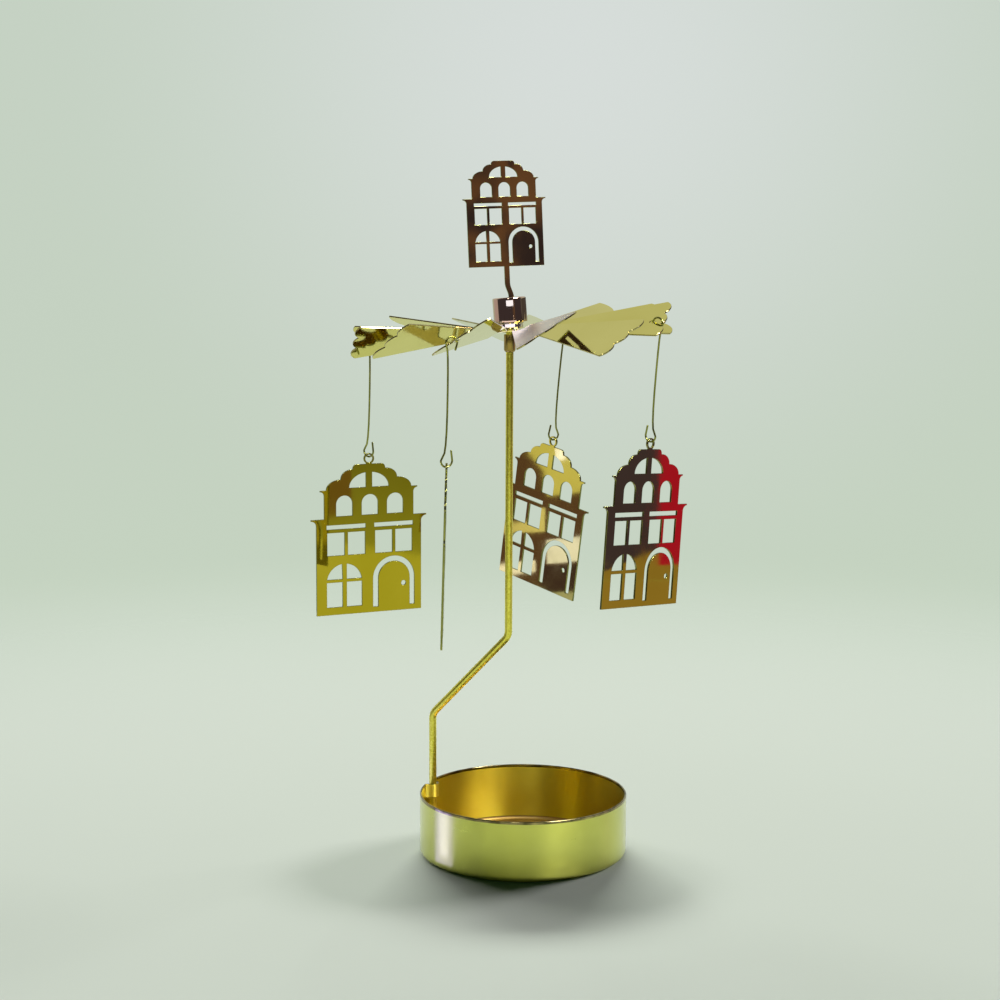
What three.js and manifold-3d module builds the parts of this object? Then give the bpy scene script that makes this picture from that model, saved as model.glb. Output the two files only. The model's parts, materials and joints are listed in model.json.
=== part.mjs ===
// A heat-driven turning candle holder in gilt sheet metal, in millimetres, +Z up.
// A shallow cup takes one tea light. A bent rod plugs into a strap in the cup's wall and ends in a
// point. A rotor of twelve slanted vanes turns on that point, with a small gabled house standing on
// its cap and four larger ones hanging from wire hooks. The origin is the middle of the cup's
// underside. X runs to the right and Y away from the front.
import * as THREE from 'three';
import { mergeVertices } from 'three/addons/utils/BufferGeometryUtils.js';
import Module from 'manifold-3d';

const wasm = await Module();
wasm.setup();

const deg = Math.PI / 180;

// Cup
const cupDiameter = 45;
const cupHeight = 13.3;
const cupWall = 0.4;
const cupFloor = 0.5;
const cupCornerRadius = 1.2;
const cupSides = 72;

// Strap lanced from the cup's wall, which holds the rod
const strapHeight = 3;
const strapWall = 0.35;
const strapSpread = 3.8;
const strapClearance = 0.15;

// Rod
const rodDiameter = 1.6;
const rodPointLength = 3;
const rodFootAngle = 161.5 * deg;
const rodFootGap = 0.3;
const rodWallGap = 0.25;
const rodTopX = -3.35;
const rodTopY = 0;
const lowerBendHeight = 29.1;
const upperBendHeight = 48;
const rodBendRadius = 3;
const pivotHeight = 118;
const rodSides = 12;

// Sleeve on the rod under the vanes
const sleeveDiameter = 2.5;
const sleeveLength = 3.7;
const sleeveChamfer = 0.4;
const sleeveBoreClearance = 0.1;
const sleeveTopGap = 0.6;

// Rotor sheet with its vanes
const sheetThickness = 0.35;
const sheetDrop = 4;
const rotorLeanX = -3.8 * deg;
const rotorLeanY = -4.58 * deg;
const hubDiscDiameter = 14;
const rodHoleDiameter = 3.2;
const vaneCount = 12;
const vaneFirstAngle = 17.4 * deg;
const vaneTwist = 27 * deg;
const vaneRootWidth = 2.7;
const vaneRootLength = 4.2;
const vaneNotchRadius = 32.8;
const vaneTipWidth = 14.2;
const vaneLobes = 3;
const vaneLobeRise = 1.1;
const vaneWeld = 0.6;

// How far each vane is bent down at its root, from the first one round
const vaneDrops = [-0.5, 6, 0, 0, 0, 0, -0.2, -3.6, 0, 1.2, -2, 0].map((drop) => drop * deg);

const hookHoleDiameter = 1.4;

// Cap over the pivot and the bearing inside it
const capDiameter = 7.1;
const capHeight = 6.6;
const capWall = 0.4;
const capTop = 0.5;
const capEdgeRadius = 0.35;
const capSeatGap = 0.25;
const bearingGap = 0.25;
const bearingHeight = 2.3;
const bearingDimpleRadius = 1.1;
const bearingDimpleDepth = 1.1;
const bearingTipGap = 0.3;

// Gabled houses, cut from sheet
const houseWidth = 24.5;
const houseHeight = 33.1;
const houseThickness = 0.45;
const houseRingDiameter = 2.4;
const houseRingHole = 1.7;
const houseRingRise = 2.35;
const houseNeckWidth = 1.3;
const knobHoleDiameter = 1.1;

// Small house on top, with its stem
const topHouseWidth = 16.3;
const topHouseHeight = 22.1;
const topHouseX = 0.03;
const topHouseRise = 6.5;
const topHouseYaw = 14 * deg;
const topHouseLean = -2 * deg;
const stemWidth = 1.1;
const stemBendDrop = 3.4;
const stemFootShift = 0.72;
const stemSlotClearance = 0.2;
const stemFootBelowCap = 0.75;

// Wire hooks
const wireDiameter = 0.4;
const wireSides = 6;
const loopRadius = 1.3;
const hookSpan = 23.4;
const hookSeatDrop = 0.1;
const hookNotchGap = 0.6;
const hookRingGap = 0.25;
const shankTopOffset = 0.6;
const shankBottomOffset = 0.1;
const shankBendLength = 2.3;
const upperEndDrop = 1.3;
const lowerEndRise = 1.9;
const endCurl = 0.35;

// How each house hangs, counted round the rotor from the far left. First its hook: the vane that
// carries it, how far it sits from the notch towards the lower lobe, how far it is turned from the
// radius and how far it leans outward. Then the house: the way it faces, its lean in its own plane
// and its tilt out of it.
const pendants = [
  { vane: 6, hookShift: 0, hookTurn: 18 * deg, hookLean: 3.3 * deg,
    yaw: 24.4 * deg, lean: -0.1 * deg, tilt: 0 },
  { vane: 3, hookShift: 0.8, hookTurn: 41 * deg, hookLean: 2.8 * deg,
    yaw: 91.5 * deg, lean: -0.6 * deg, tilt: 1.5 * deg },
  { vane: 9, hookShift: 0, hookTurn: 40 * deg, hookLean: -4.5 * deg,
    yaw: -46.2 * deg, lean: -9 * deg, tilt: 0 },
  { vane: 0, hookShift: 0, hookTurn: 24 * deg, hookLean: -3.6 * deg,
    yaw: 47.2 * deg, lean: -5.2 * deg, tilt: 0 },
];

// Steps of the curved outlines
const arcSteps = 6;
const ringSteps = 14;
const cutOver = 1;

const brightGold = new THREE.MeshStandardMaterial({ color: 0xc9b04a, roughness: 0.22, metalness: 1 });
const satinGold = new THREE.MeshStandardMaterial({ color: 0xb9b76a, roughness: 0.38, metalness: 1 });
const rodGold = new THREE.MeshStandardMaterial({ color: 0xc2aa3c, roughness: 0.25, metalness: 1 });
const darkBrass = new THREE.MeshStandardMaterial({ color: 0x6b4a3a, roughness: 0.3, metalness: 1 });
const wireBrass = new THREE.MeshStandardMaterial({ color: 0x7c7436, roughness: 0.35, metalness: 1 });

// A closed mesh turned into a solid for joining and cutting, and back
function solidOf(geometry) {
  const bare = geometry.clone();
  bare.deleteAttribute('normal');
  bare.deleteAttribute('uv');
  const merged = mergeVertices(bare, 1e-5);
  return new wasm.Manifold(new wasm.Mesh({
    numProp: 3,
    vertProperties: new Float32Array(merged.attributes.position.array),
    triVerts: new Uint32Array(merged.index.array),
  }));
}

function geometryOf(solid) {
  const mesh = solid.getMesh();
  const geometry = new THREE.BufferGeometry();
  geometry.setAttribute('position', new THREE.BufferAttribute(new Float32Array(mesh.vertProperties), 3));
  geometry.setIndex(new THREE.BufferAttribute(new Uint32Array(mesh.triVerts), 1));
  geometry.computeVertexNormals();
  return geometry;
}

function named(name, geometry, material) {
  const mesh = new THREE.Mesh(geometry, material);
  mesh.name = name;
  return mesh;
}

// Points along part of an ellipse, both ends included
function arcPoints(x, y, radiusX, radiusY, from, to, steps = arcSteps) {
  const points = [];
  for (let i = 0; i <= steps; i += 1) {
    const angle = from + (to - from) * i / steps;
    points.push(new THREE.Vector2(x + radiusX * Math.cos(angle), y + radiusY * Math.sin(angle)));
  }
  return points;
}

function circlePoints(x, y, radius, steps) {
  return arcPoints(x, y, radius, radius, 0, 2 * Math.PI, steps).slice(1);
}

// A flat shape given thickness, centred on its own plane
function sheet(shape, thickness) {
  const geometry = new THREE.ExtrudeGeometry(shape, { depth: thickness, bevelEnabled: false, steps: 1 });
  geometry.translate(0, 0, -thickness / 2);
  return geometry;
}

// A flat outline given thickness, with each opening cut through it
function piercedSheet(outline, openings, thickness) {
  let solid = solidOf(sheet(new THREE.Shape(outline), thickness));
  openings.forEach((opening) => {
    solid = solid.subtract(solidOf(sheet(new THREE.Shape(opening), thickness + cutOver)));
  });
  return geometryOf(solid);
}

// A wire's path through its own points, so that long straights stay one step
class WirePath extends THREE.Curve {
  constructor(points) {
    super();
    this.points = points;
  }

  index(t) {
    return Math.round(t * (this.points.length - 1));
  }

  getPoint(t) {
    return this.points[this.index(t)].clone();
  }

  getPointAt(t) {
    return this.getPoint(t);
  }

  getTangentAt(t) {
    const i = this.index(t);
    const last = this.points.length - 1;
    const here = this.points[i];
    const ahead = this.points[Math.min(i + 1, last)].clone().sub(here).normalize();
    const behind = here.clone().sub(this.points[Math.max(i - 1, 0)]).normalize();
    return ahead.add(behind).normalize();
  }
}

function wire(points, diameter, sides) {
  const section = new THREE.Shape(circlePoints(0, 0, diameter / 2, sides));
  return new THREE.ExtrudeGeometry(section, {
    steps: points.length - 1,
    bevelEnabled: false,
    extrudePath: new WirePath(points),
  });
}

// A corner at b between a and c, replaced by an arc of the bend radius
function roundedCorner(a, b, c, radius, steps) {
  const inward = a.clone().sub(b).normalize();
  const outward = c.clone().sub(b).normalize();
  const half = Math.acos(THREE.MathUtils.clamp(inward.dot(outward), -1, 1)) / 2;
  const middle = inward.clone().add(outward).normalize();
  const centre = b.clone().addScaledVector(middle, radius / Math.sin(half));
  const start = b.clone().addScaledVector(inward, radius / Math.tan(half)).sub(centre);
  const axis = inward.clone().cross(outward).normalize();
  const sweep = -(Math.PI - 2 * half);
  const points = [];
  for (let i = 0; i <= steps; i += 1) {
    points.push(start.clone().applyAxisAngle(axis, sweep * i / steps).add(centre));
  }
  return points;
}

// The cup: a spun shell with a strap pressed inward out of its rim, round the rod
const cupRadius = cupDiameter / 2;
const rodRadius = rodDiameter / 2;
const rodFootRadius = cupRadius - cupWall - rodWallGap - rodRadius;

function cupShell() {
  const innerRadius = cupRadius - cupWall;
  const innerCorner = Math.max(cupCornerRadius - cupWall, cupWall);
  const profile = [
    new THREE.Vector2(0, 0),
    ...arcPoints(cupRadius - cupCornerRadius, cupCornerRadius, cupCornerRadius, cupCornerRadius,
      -Math.PI / 2, 0),
    new THREE.Vector2(cupRadius, cupHeight),
    new THREE.Vector2(innerRadius, cupHeight),
    ...arcPoints(innerRadius - innerCorner, cupFloor + innerCorner, innerCorner, innerCorner,
      0, -Math.PI / 2),
    new THREE.Vector2(0, cupFloor),
  ];
  const shell = new THREE.LatheGeometry(profile, cupSides);
  shell.rotateX(Math.PI / 2);
  return solidOf(shell);
}

// In plan, with x outward through the rod and y along the wall: a band from the wall round the rod
function strapBand(inner) {
  const reach = rodRadius + strapClearance + (inner ? 0 : strapWall);
  const foot = strapSpread / 2 + (inner ? -strapWall : 0);
  const footX = Math.sqrt((cupRadius - cupWall / 2) ** 2 - foot ** 2);
  return [
    new THREE.Vector2(footX, -foot),
    ...arcPoints(rodFootRadius, 0, reach, reach, 1.5 * Math.PI, 0.5 * Math.PI, 2 * arcSteps),
    new THREE.Vector2(footX, foot),
  ];
}

function strapSolid() {
  const band = new THREE.Shape([...strapBand(false), ...strapBand(true).reverse()]);
  const strap = sheet(band, strapHeight);
  strap.translate(0, 0, cupHeight - strapHeight / 2);
  strap.rotateZ(rodFootAngle);
  return solidOf(strap);
}

function strapWindow() {
  const window = new THREE.BoxGeometry(4 * cupWall, strapSpread - 2 * strapWall, strapHeight + cutOver);
  window.translate(cupRadius - cupWall / 2, 0, cupHeight - strapHeight / 2 + cutOver / 2);
  window.rotateZ(rodFootAngle);
  return solidOf(window);
}

function cup() {
  return geometryOf(cupShell().subtract(strapWindow()).add(strapSolid()));
}

// The rod: up from the cup's floor, over to the middle, and up to a point
const rodFoot = new THREE.Vector3(rodFootRadius * Math.cos(rodFootAngle), rodFootRadius * Math.sin(rodFootAngle),
  cupFloor + rodFootGap);

function rod() {
  const lowerBend = new THREE.Vector3(rodFoot.x, rodFoot.y, lowerBendHeight);
  const upperBend = new THREE.Vector3(rodTopX, rodTopY, upperBendHeight);
  const top = new THREE.Vector3(rodTopX, rodTopY, pivotHeight - rodPointLength);
  const path = [
    rodFoot.clone(),
    ...roundedCorner(rodFoot, lowerBend, upperBend, rodBendRadius, arcSteps),
    ...roundedCorner(lowerBend, upperBend, top, rodBendRadius, arcSteps),
    top,
  ];
  const point = new THREE.LatheGeometry([
    new THREE.Vector2(0, -rodDiameter),
    new THREE.Vector2(rodRadius, -rodDiameter),
    new THREE.Vector2(rodRadius, 0),
    new THREE.Vector2(0, rodPointLength),
  ], rodSides);
  point.rotateX(Math.PI / 2);
  point.translate(rodTopX, rodTopY, pivotHeight - rodPointLength);
  return geometryOf(solidOf(wire(path, rodDiameter, rodSides)).add(solidOf(point)));
}

function sleeve() {
  const top = pivotHeight - sheetDrop - sheetThickness / 2 - sleeveTopGap;
  const bottom = top - sleeveLength;
  const outer = sleeveDiameter / 2;
  const bore = rodRadius + sleeveBoreClearance;
  const profile = [
    new THREE.Vector2(bore, top),
    new THREE.Vector2(bore, bottom),
    new THREE.Vector2(outer - sleeveChamfer / 2, bottom),
    new THREE.Vector2(outer, bottom + sleeveChamfer),
    new THREE.Vector2(outer, top),
    new THREE.Vector2(bore, top),
  ];
  const tube = new THREE.LatheGeometry(profile, 2 * rodSides);
  tube.rotateX(Math.PI / 2);
  tube.translate(rodTopX, rodTopY, 0);
  return tube;
}

// The rotor's own frame has its origin on the pivot and its z along the axis that it turns about
const rotor = new THREE.Group();
rotor.position.set(rodTopX, rodTopY, pivotHeight);
rotor.rotation.set(rotorLeanX, rotorLeanY, 0);
rotor.updateMatrixWorld(true);

function vaneHalfWidth(radius) {
  const rootRadius = hubDiscDiameter / 2;
  const share = (radius - rootRadius) / (vaneNotchRadius - rootRadius);
  return vaneRootWidth / 2 + (vaneTipWidth - vaneRootWidth) / 2 * share;
}

// A vane's root: a strip that twists from the flat disc to the vane's slant
function vaneRoot() {
  const start = hubDiscDiameter / 2 - vaneWeld;
  const length = vaneRootLength + vaneWeld;
  const strip = new THREE.BoxGeometry(length, 2, sheetThickness, arcSteps + 2, 1, 1);
  const position = strip.attributes.position;
  const corner = new THREE.Vector3();
  for (let i = 0; i < position.count; i += 1) {
    corner.fromBufferAttribute(position, i);
    const radius = start + length / 2 + corner.x;
    const along = (radius - hubDiscDiameter / 2) / (vaneRootLength - vaneWeld);
    const twist = vaneTwist * THREE.MathUtils.smoothstep(along, 0, 1);
    corner.set(radius, corner.y * vaneHalfWidth(radius), corner.z);
    corner.applyAxisAngle(new THREE.Vector3(1, 0, 0), twist);
    position.setXYZ(i, corner.x, corner.y, corner.z);
  }
  return strip;
}

// The lobes at a vane's tip: arcs that meet in notches
const lobeWidth = vaneTipWidth / vaneLobes;
const lobeHalf = Math.atan2(lobeWidth / 2, (lobeWidth ** 2 / 4 - vaneLobeRise ** 2) / (2 * vaneLobeRise));
const lobeRadius = lobeWidth / 2 / Math.sin(lobeHalf);

// Where a hook's shank passes the tip's edge, in the flat vane
function hookSeat(pendant) {
  const fromMiddle = lobeWidth / 2 - pendant.hookShift;
  const rise = Math.sqrt(lobeRadius ** 2 - fromMiddle ** 2) - lobeRadius + vaneLobeRise;
  return new THREE.Vector3(vaneNotchRadius + rise, -lobeWidth / 2 - pendant.hookShift, 0);
}

// The hole that a hook's inner end goes through, in the flat vane
function hookHole(pendant) {
  const seat = hookSeat(pendant);
  const reach = 2 * loopRadius;
  const along = seat.x + hookNotchGap - reach * Math.cos(pendant.hookTurn);
  const across = seat.y + reach * Math.sin(pendant.hookTurn) / Math.cos(vaneTwist);
  return circlePoints(along, across, hookHoleDiameter / 2, ringSteps);
}

// A vane's flat blade, with round lobes along its tip and any hole for a hook
function vaneBlade(holes) {
  const start = hubDiscDiameter / 2 + vaneRootLength - vaneWeld;
  const outline = [
    new THREE.Vector2(start, vaneHalfWidth(start)),
    new THREE.Vector2(start, -vaneHalfWidth(start)),
  ];
  for (let i = 0; i < vaneLobes; i += 1) {
    const middle = (i + 0.5) * lobeWidth - vaneTipWidth / 2;
    const lobe = arcPoints(vaneNotchRadius + vaneLobeRise - lobeRadius, middle, lobeRadius, lobeRadius,
      -lobeHalf, lobeHalf);
    outline.push(...(i === 0 ? lobe : lobe.slice(1)));
  }
  return piercedSheet(outline, holes, sheetThickness).rotateX(vaneTwist);
}

function vaneAngle(index) {
  return -(vaneFirstAngle + index * 2 * Math.PI / vaneCount);
}

// A vane's place: bent down about the edge of the hub's disc, then turned round the hub
function vanePlace(index) {
  const root = hubDiscDiameter / 2;
  return new THREE.Matrix4().makeRotationZ(vaneAngle(index))
    .multiply(new THREE.Matrix4().makeTranslation(root, 0, 0))
    .multiply(new THREE.Matrix4().makeRotationY(vaneDrops[index % vaneDrops.length]))
    .multiply(new THREE.Matrix4().makeTranslation(-root, 0, 0));
}

function vanePlate() {
  const disc = new THREE.CylinderGeometry(hubDiscDiameter / 2, hubDiscDiameter / 2, sheetThickness, cupSides);
  disc.rotateX(Math.PI / 2);
  let plate = solidOf(disc);
  for (let i = 0; i < vaneCount; i += 1) {
    const holes = pendants.filter((pendant) => pendant.vane === i).map(hookHole);
    const root = vaneRoot().applyMatrix4(vanePlace(i));
    const blade = vaneBlade(holes).applyMatrix4(vanePlace(i));
    plate = plate.add(solidOf(root)).add(solidOf(blade));
  }
  const hole = new THREE.CylinderGeometry(rodHoleDiameter / 2, rodHoleDiameter / 2, cutOver, 2 * ringSteps);
  hole.rotateX(Math.PI / 2);
  return geometryOf(plate.subtract(solidOf(hole))).translate(0, 0, -sheetDrop);
}

// The cap: a drawn cup turned over the pivot, slotted in its top for the small house's stem
const capBottom = -sheetDrop + sheetThickness / 2 + capSeatGap;
const capTopHeight = capBottom + capHeight;

function topHousePlace() {
  const place = new THREE.Group();
  place.position.set(topHouseX, 0, capTopHeight + topHouseRise);
  place.rotation.set(0, -topHouseLean, topHouseYaw, 'ZYX');
  place.updateMatrix();
  return place;
}

function hubCap() {
  const outer = capDiameter / 2;
  const inner = outer - capWall;
  const profile = [
    new THREE.Vector2(0, capTopHeight - capTop),
    new THREE.Vector2(inner, capTopHeight - capTop),
    new THREE.Vector2(inner, capBottom),
    new THREE.Vector2(outer, capBottom),
    ...arcPoints(outer - capEdgeRadius, capTopHeight - capEdgeRadius, capEdgeRadius, capEdgeRadius,
      0, Math.PI / 2),
    new THREE.Vector2(0, capTopHeight),
  ];
  const cap = new THREE.LatheGeometry(profile, 3 * rodSides);
  cap.rotateX(Math.PI / 2);
  const slot = new THREE.BoxGeometry(stemWidth + 2 * stemSlotClearance, houseThickness + 2 * stemSlotClearance,
    4 * capTop);
  slot.translate(stemFootShift, 0, -topHouseRise - capTop / 2);
  slot.applyMatrix4(topHousePlace().matrix);
  return geometryOf(solidOf(cap).subtract(solidOf(slot)));
}

// The bearing: a plug inside the cap with the dimple that rides on the rod's point
function pivotBearing() {
  const radius = capDiameter / 2 - capWall - bearingGap;
  const bottom = bearingTipGap - bearingDimpleDepth;
  const profile = [
    new THREE.Vector2(0, bearingTipGap),
    new THREE.Vector2(bearingDimpleRadius, bottom),
    new THREE.Vector2(radius, bottom),
    new THREE.Vector2(radius, bottom + bearingHeight),
    new THREE.Vector2(0, bottom + bearingHeight),
  ];
  const plug = new THREE.LatheGeometry(profile, 2 * rodSides);
  plug.rotateX(Math.PI / 2);
  return plug;
}

// House outline, as shares of its width from the middle and of its height from the bottom
const bodyHalfShare = 0.5;
const corniceHalfShare = 0.55;
const corniceUnderShare = 0.6;
const corniceLipShare = 0.636;
const corniceTopShare = 0.646;
const storeyHalfShare = 0.4255;
const upperUnderShare = 0.8;
const upperHalfShare = 0.4635;
const upperLipShare = 0.828;
const upperTopShare = 0.837;
const gableHalfShares = [0.405, 0.268, 0.165];
const gableRiseShares = [0.837, 0.905, 0.968];
const shoulderHalfShare = 0.155;
const crownHalfShare = 0.12;

// The right half of the outline, from the bottom corner up to the crown
function houseSide(width, height) {
  const at = (across, up) => new THREE.Vector2(across * width, up * height);
  const flare = (half, under, out, lip) => arcPoints(out * width, under * height, (out - half) * width,
    (lip - under) * height, Math.PI, Math.PI / 2, arcSteps / 2);
  const lobe = (i) => arcPoints(gableHalfShares[i + 1] * width, gableRiseShares[i] * height,
    (gableHalfShares[i] - gableHalfShares[i + 1]) * width,
    (gableRiseShares[i + 1] - gableRiseShares[i]) * height, 0, Math.PI / 2);
  return [
    at(bodyHalfShare, 0),
    ...flare(bodyHalfShare, corniceUnderShare, corniceHalfShare, corniceLipShare),
    at(corniceHalfShare, corniceTopShare),
    at(storeyHalfShare, corniceTopShare),
    ...flare(storeyHalfShare, upperUnderShare, upperHalfShare, upperLipShare),
    at(upperHalfShare, upperTopShare),
    ...lobe(0),
    ...lobe(1).slice(1),
    ...arcPoints(crownHalfShare * width, gableRiseShares[2] * height,
      (shoulderHalfShare - crownHalfShare) * width, (1 - gableRiseShares[2]) * height,
      0, Math.PI / 2, arcSteps / 2),
  ];
}

function mirrored(points) {
  return points.map((point) => new THREE.Vector2(-point.x, point.y)).reverse();
}

// Openings, as shares of the width from the left edge and of the height from the bottom
const headerShares = [[0.097, 0.467], [0.549, 0.921]];
const headerUpShares = [0.575, 0.603];
const paneShares = [[0.103, 0.266], [0.298, 0.461], [0.557, 0.721], [0.751, 0.912]];
const paneUpShares = [0.399, 0.551];
const archShares = [[0.188, 0.342], [0.43, 0.584], [0.671, 0.825]];
const archUpShares = [0.661, 0.797];
const windowShares = [0.097, 0.246, 0.286, 0.43];
const windowUpShares = [0.052, 0.218, 0.239];
const doorOuterShares = [0.536, 0.934];
const doorInnerShares = [0.586, 0.889];
const doorFootShare = 0.036;
const doorSpringShare = 0.225;
const fanHalfShares = [0.03, 0.188];
const fanUpShares = [0.846, 0.946];
const knobShares = [0.829, 0.184];

function houseOpenings(width, height) {
  const x = (share) => (share - bodyHalfShare) * width;
  const y = (share) => share * height;
  const at = (across, up) => new THREE.Vector2(x(across), y(up));
  const box = ([left, right], [low, high]) => [at(left, low), at(right, low), at(right, high), at(left, high)];
  const arch = ([left, right], spring) => {
    const radius = (right - left) * width / 2;
    return arcPoints(x((left + right) / 2), spring, radius, radius, 0, Math.PI, 2 * arcSteps);
  };
  const outlines = [];
  headerShares.forEach((span) => outlines.push(box(span, headerUpShares)));
  paneShares.forEach((span) => outlines.push(box(span, paneUpShares)));
  archShares.forEach(([left, right]) => {
    const spring = y(archUpShares[1]) - (right - left) * width / 2;
    outlines.push([at(left, archUpShares[0]), at(right, archUpShares[0]), ...arch([left, right], spring)]);
  });

  // The round-headed window: two square panes under two quarter lights
  const [outerLeft, innerLeft, innerRight, outerRight] = windowShares;
  const lights = [[outerLeft, innerLeft], [innerRight, outerRight]];
  const windowRadius = (outerRight - outerLeft) * width / 2;
  const windowMiddle = x((outerLeft + outerRight) / 2);
  const transom = y(windowUpShares[2]);
  const low = Math.asin((transom - y(windowUpShares[1])) / windowRadius);
  const high = Math.acos((x(innerRight) - windowMiddle) / windowRadius);
  lights.forEach((span, i) => {
    outlines.push(box(span, windowUpShares));
    const ends = i === 0 ? [Math.PI - high, Math.PI - low] : [low, high];
    outlines.push([
      new THREE.Vector2(x(i === 0 ? innerLeft : innerRight), transom),
      ...arcPoints(windowMiddle, y(windowUpShares[1]), windowRadius, windowRadius, ...ends),
    ]);
  });

  // The door's frame: one slot up, over and down again
  outlines.push([
    at(doorOuterShares[1], doorFootShare),
    ...arch(doorOuterShares, y(doorSpringShare)),
    at(doorOuterShares[0], doorFootShare),
    at(doorInnerShares[0], doorFootShare),
    ...arch(doorInnerShares, y(doorSpringShare)).reverse(),
    at(doorInnerShares[1], doorFootShare),
  ]);

  // The fanlight in the gable, in two halves
  [1, -1].forEach((side) => {
    const fan = arcPoints(0, y(fanUpShares[0]), fanHalfShares[1] * width, y(fanUpShares[1] - fanUpShares[0]),
      0, Math.PI / 2 - Math.asin(fanHalfShares[0] / fanHalfShares[1]));
    fan.push(new THREE.Vector2(fanHalfShares[0] * width, y(fanUpShares[0])));
    outlines.push(side === 1 ? fan : mirrored(fan));
  });
  const knob = knobHoleDiameter / 2 * width / houseWidth;
  outlines.push(circlePoints(x(knobShares[0]), y(knobShares[1]), knob, arcSteps + 2));
  return outlines;
}

// A house to hang: its ring's top bar lies over the hook, which runs through the origin
function hangingHouse() {
  const side = houseSide(houseWidth, houseHeight);
  const outer = houseRingDiameter / 2;
  const ringHeight = houseHeight + houseRingRise - outer;
  const neck = Math.asin(houseNeckWidth / 2 / outer);
  const outline = [
    ...side,
    new THREE.Vector2(houseNeckWidth / 2, houseHeight),
    ...arcPoints(0, ringHeight, outer, outer, neck - Math.PI / 2, 1.5 * Math.PI - neck, ringSteps),
    new THREE.Vector2(-houseNeckWidth / 2, houseHeight),
    ...mirrored(side),
  ];
  const openings = [
    circlePoints(0, ringHeight, houseRingHole / 2, ringSteps),
    ...houseOpenings(houseWidth, houseHeight),
  ];
  const seat = houseRingHole / 2 - wireDiameter / 2 - hookRingGap;
  const house = piercedSheet(outline, openings, houseThickness);
  house.translate(0, -ringHeight - seat, 0);
  return house.rotateX(Math.PI / 2);
}

// The house on top stands on a stem that bends over into the cap's slot
function standingHouse() {
  const side = houseSide(topHouseWidth, topHouseHeight);
  const half = stemWidth / 2;
  const foot = topHouseRise + stemFootBelowCap;
  const outline = [
    new THREE.Vector2(stemFootShift - half, -foot),
    new THREE.Vector2(stemFootShift + half, -foot),
    new THREE.Vector2(stemFootShift + half, -topHouseRise),
    new THREE.Vector2(half, -stemBendDrop),
    new THREE.Vector2(half, 0),
    ...side,
    ...mirrored(side),
    new THREE.Vector2(-half, 0),
    new THREE.Vector2(-half, -stemBendDrop),
    new THREE.Vector2(stemFootShift - half, -topHouseRise),
  ];
  const openings = houseOpenings(topHouseWidth, topHouseHeight);
  return piercedSheet(outline, openings, houseThickness).rotateX(Math.PI / 2);
}

// A hook: one wire with an open loop at each end, x outward and the upper loop's middle at the origin
function hook() {
  const at = (x, z) => new THREE.Vector3(x, 0, z);
  const loop = (z, from, to) => arcPoints(0, z, loopRadius, loopRadius, from, to, 2 * arcSteps)
    .map((point) => at(point.x, point.y));
  const shankTop = at(shankTopOffset, -shankBendLength);
  const shankBottom = at(shankBottomOffset, shankBendLength - hookSpan);
  const path = [
    at(endCurl - loopRadius, -upperEndDrop),
    ...loop(0, Math.PI, 0),
    shankTop,
    shankBottom,
    ...loop(-hookSpan, 0, -Math.PI),
    at(endCurl - loopRadius, lowerEndRise - hookSpan),
  ];
  return wire(path, wireDiameter, wireSides);
}

// Where a hook hangs: its shank lies in or near the notch beside the vane's middle lobe
function hookPlace(pendant) {
  const angle = vaneAngle(pendant.vane);
  const flat = rotor.matrixWorld.clone()
    .multiply(new THREE.Matrix4().makeTranslation(0, 0, -sheetDrop))
    .multiply(vanePlace(pendant.vane))
    .multiply(new THREE.Matrix4().makeRotationX(vaneTwist));
  const notch = hookSeat(pendant).applyMatrix4(flat);
  const normal = new THREE.Vector3(0, 0, 1).transformDirection(flat);
  const radial = new THREE.Vector3(Math.cos(angle), Math.sin(angle), 0);
  const turned = angle - pendant.hookTurn;
  const outward = new THREE.Vector3(Math.cos(turned), Math.sin(turned), 0);
  const loop = notch.clone().addScaledVector(radial, hookNotchGap).addScaledVector(outward, -loopRadius);
  const fromNotch = loop.clone().sub(notch);
  loop.z = notch.z - (normal.x * fromNotch.x + normal.y * fromNotch.y) / normal.z - hookSeatDrop;
  return { loop, turned };
}

const candleHolder = new THREE.Group();
candleHolder.add(named('tealight_cup', cup(), satinGold));
candleHolder.add(named('stand_rod', rod(), rodGold));
candleHolder.add(named('rod_sleeve', sleeve(), darkBrass));
candleHolder.add(rotor);
rotor.add(named('pivot_bearing', pivotBearing(), wireBrass));
rotor.add(named('vane_plate', vanePlate(), brightGold));
rotor.add(named('hub_cap', hubCap(), darkBrass));

const topPlace = topHousePlace();
topPlace.add(named('top_house', standingHouse(), darkBrass));
rotor.add(topPlace);

pendants.forEach((pendant, i) => {
  const { loop, turned } = hookPlace(pendant);
  const wireHook = named(`hook_${i + 1}`, hook(), wireBrass);
  wireHook.position.copy(loop);
  wireHook.rotation.set(0, -pendant.hookLean, turned, 'ZYX');
  candleHolder.add(wireHook);
  const outward = hookSpan * Math.sin(pendant.hookLean);
  const lower = new THREE.Vector3(loop.x + outward * Math.cos(turned), loop.y + outward * Math.sin(turned),
    loop.z - hookSpan * Math.cos(pendant.hookLean) - loopRadius);
  const house = named(`house_${i + 1}`, hangingHouse(), brightGold);
  house.position.copy(lower);
  house.rotation.set(pendant.tilt, -pendant.lean, pendant.yaw, 'ZYX');
  candleHolder.add(house);
});

export default candleHolder;
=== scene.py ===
import json
import math

import bmesh
import bpy
import numpy as np
from mathutils import Matrix, Vector


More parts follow.
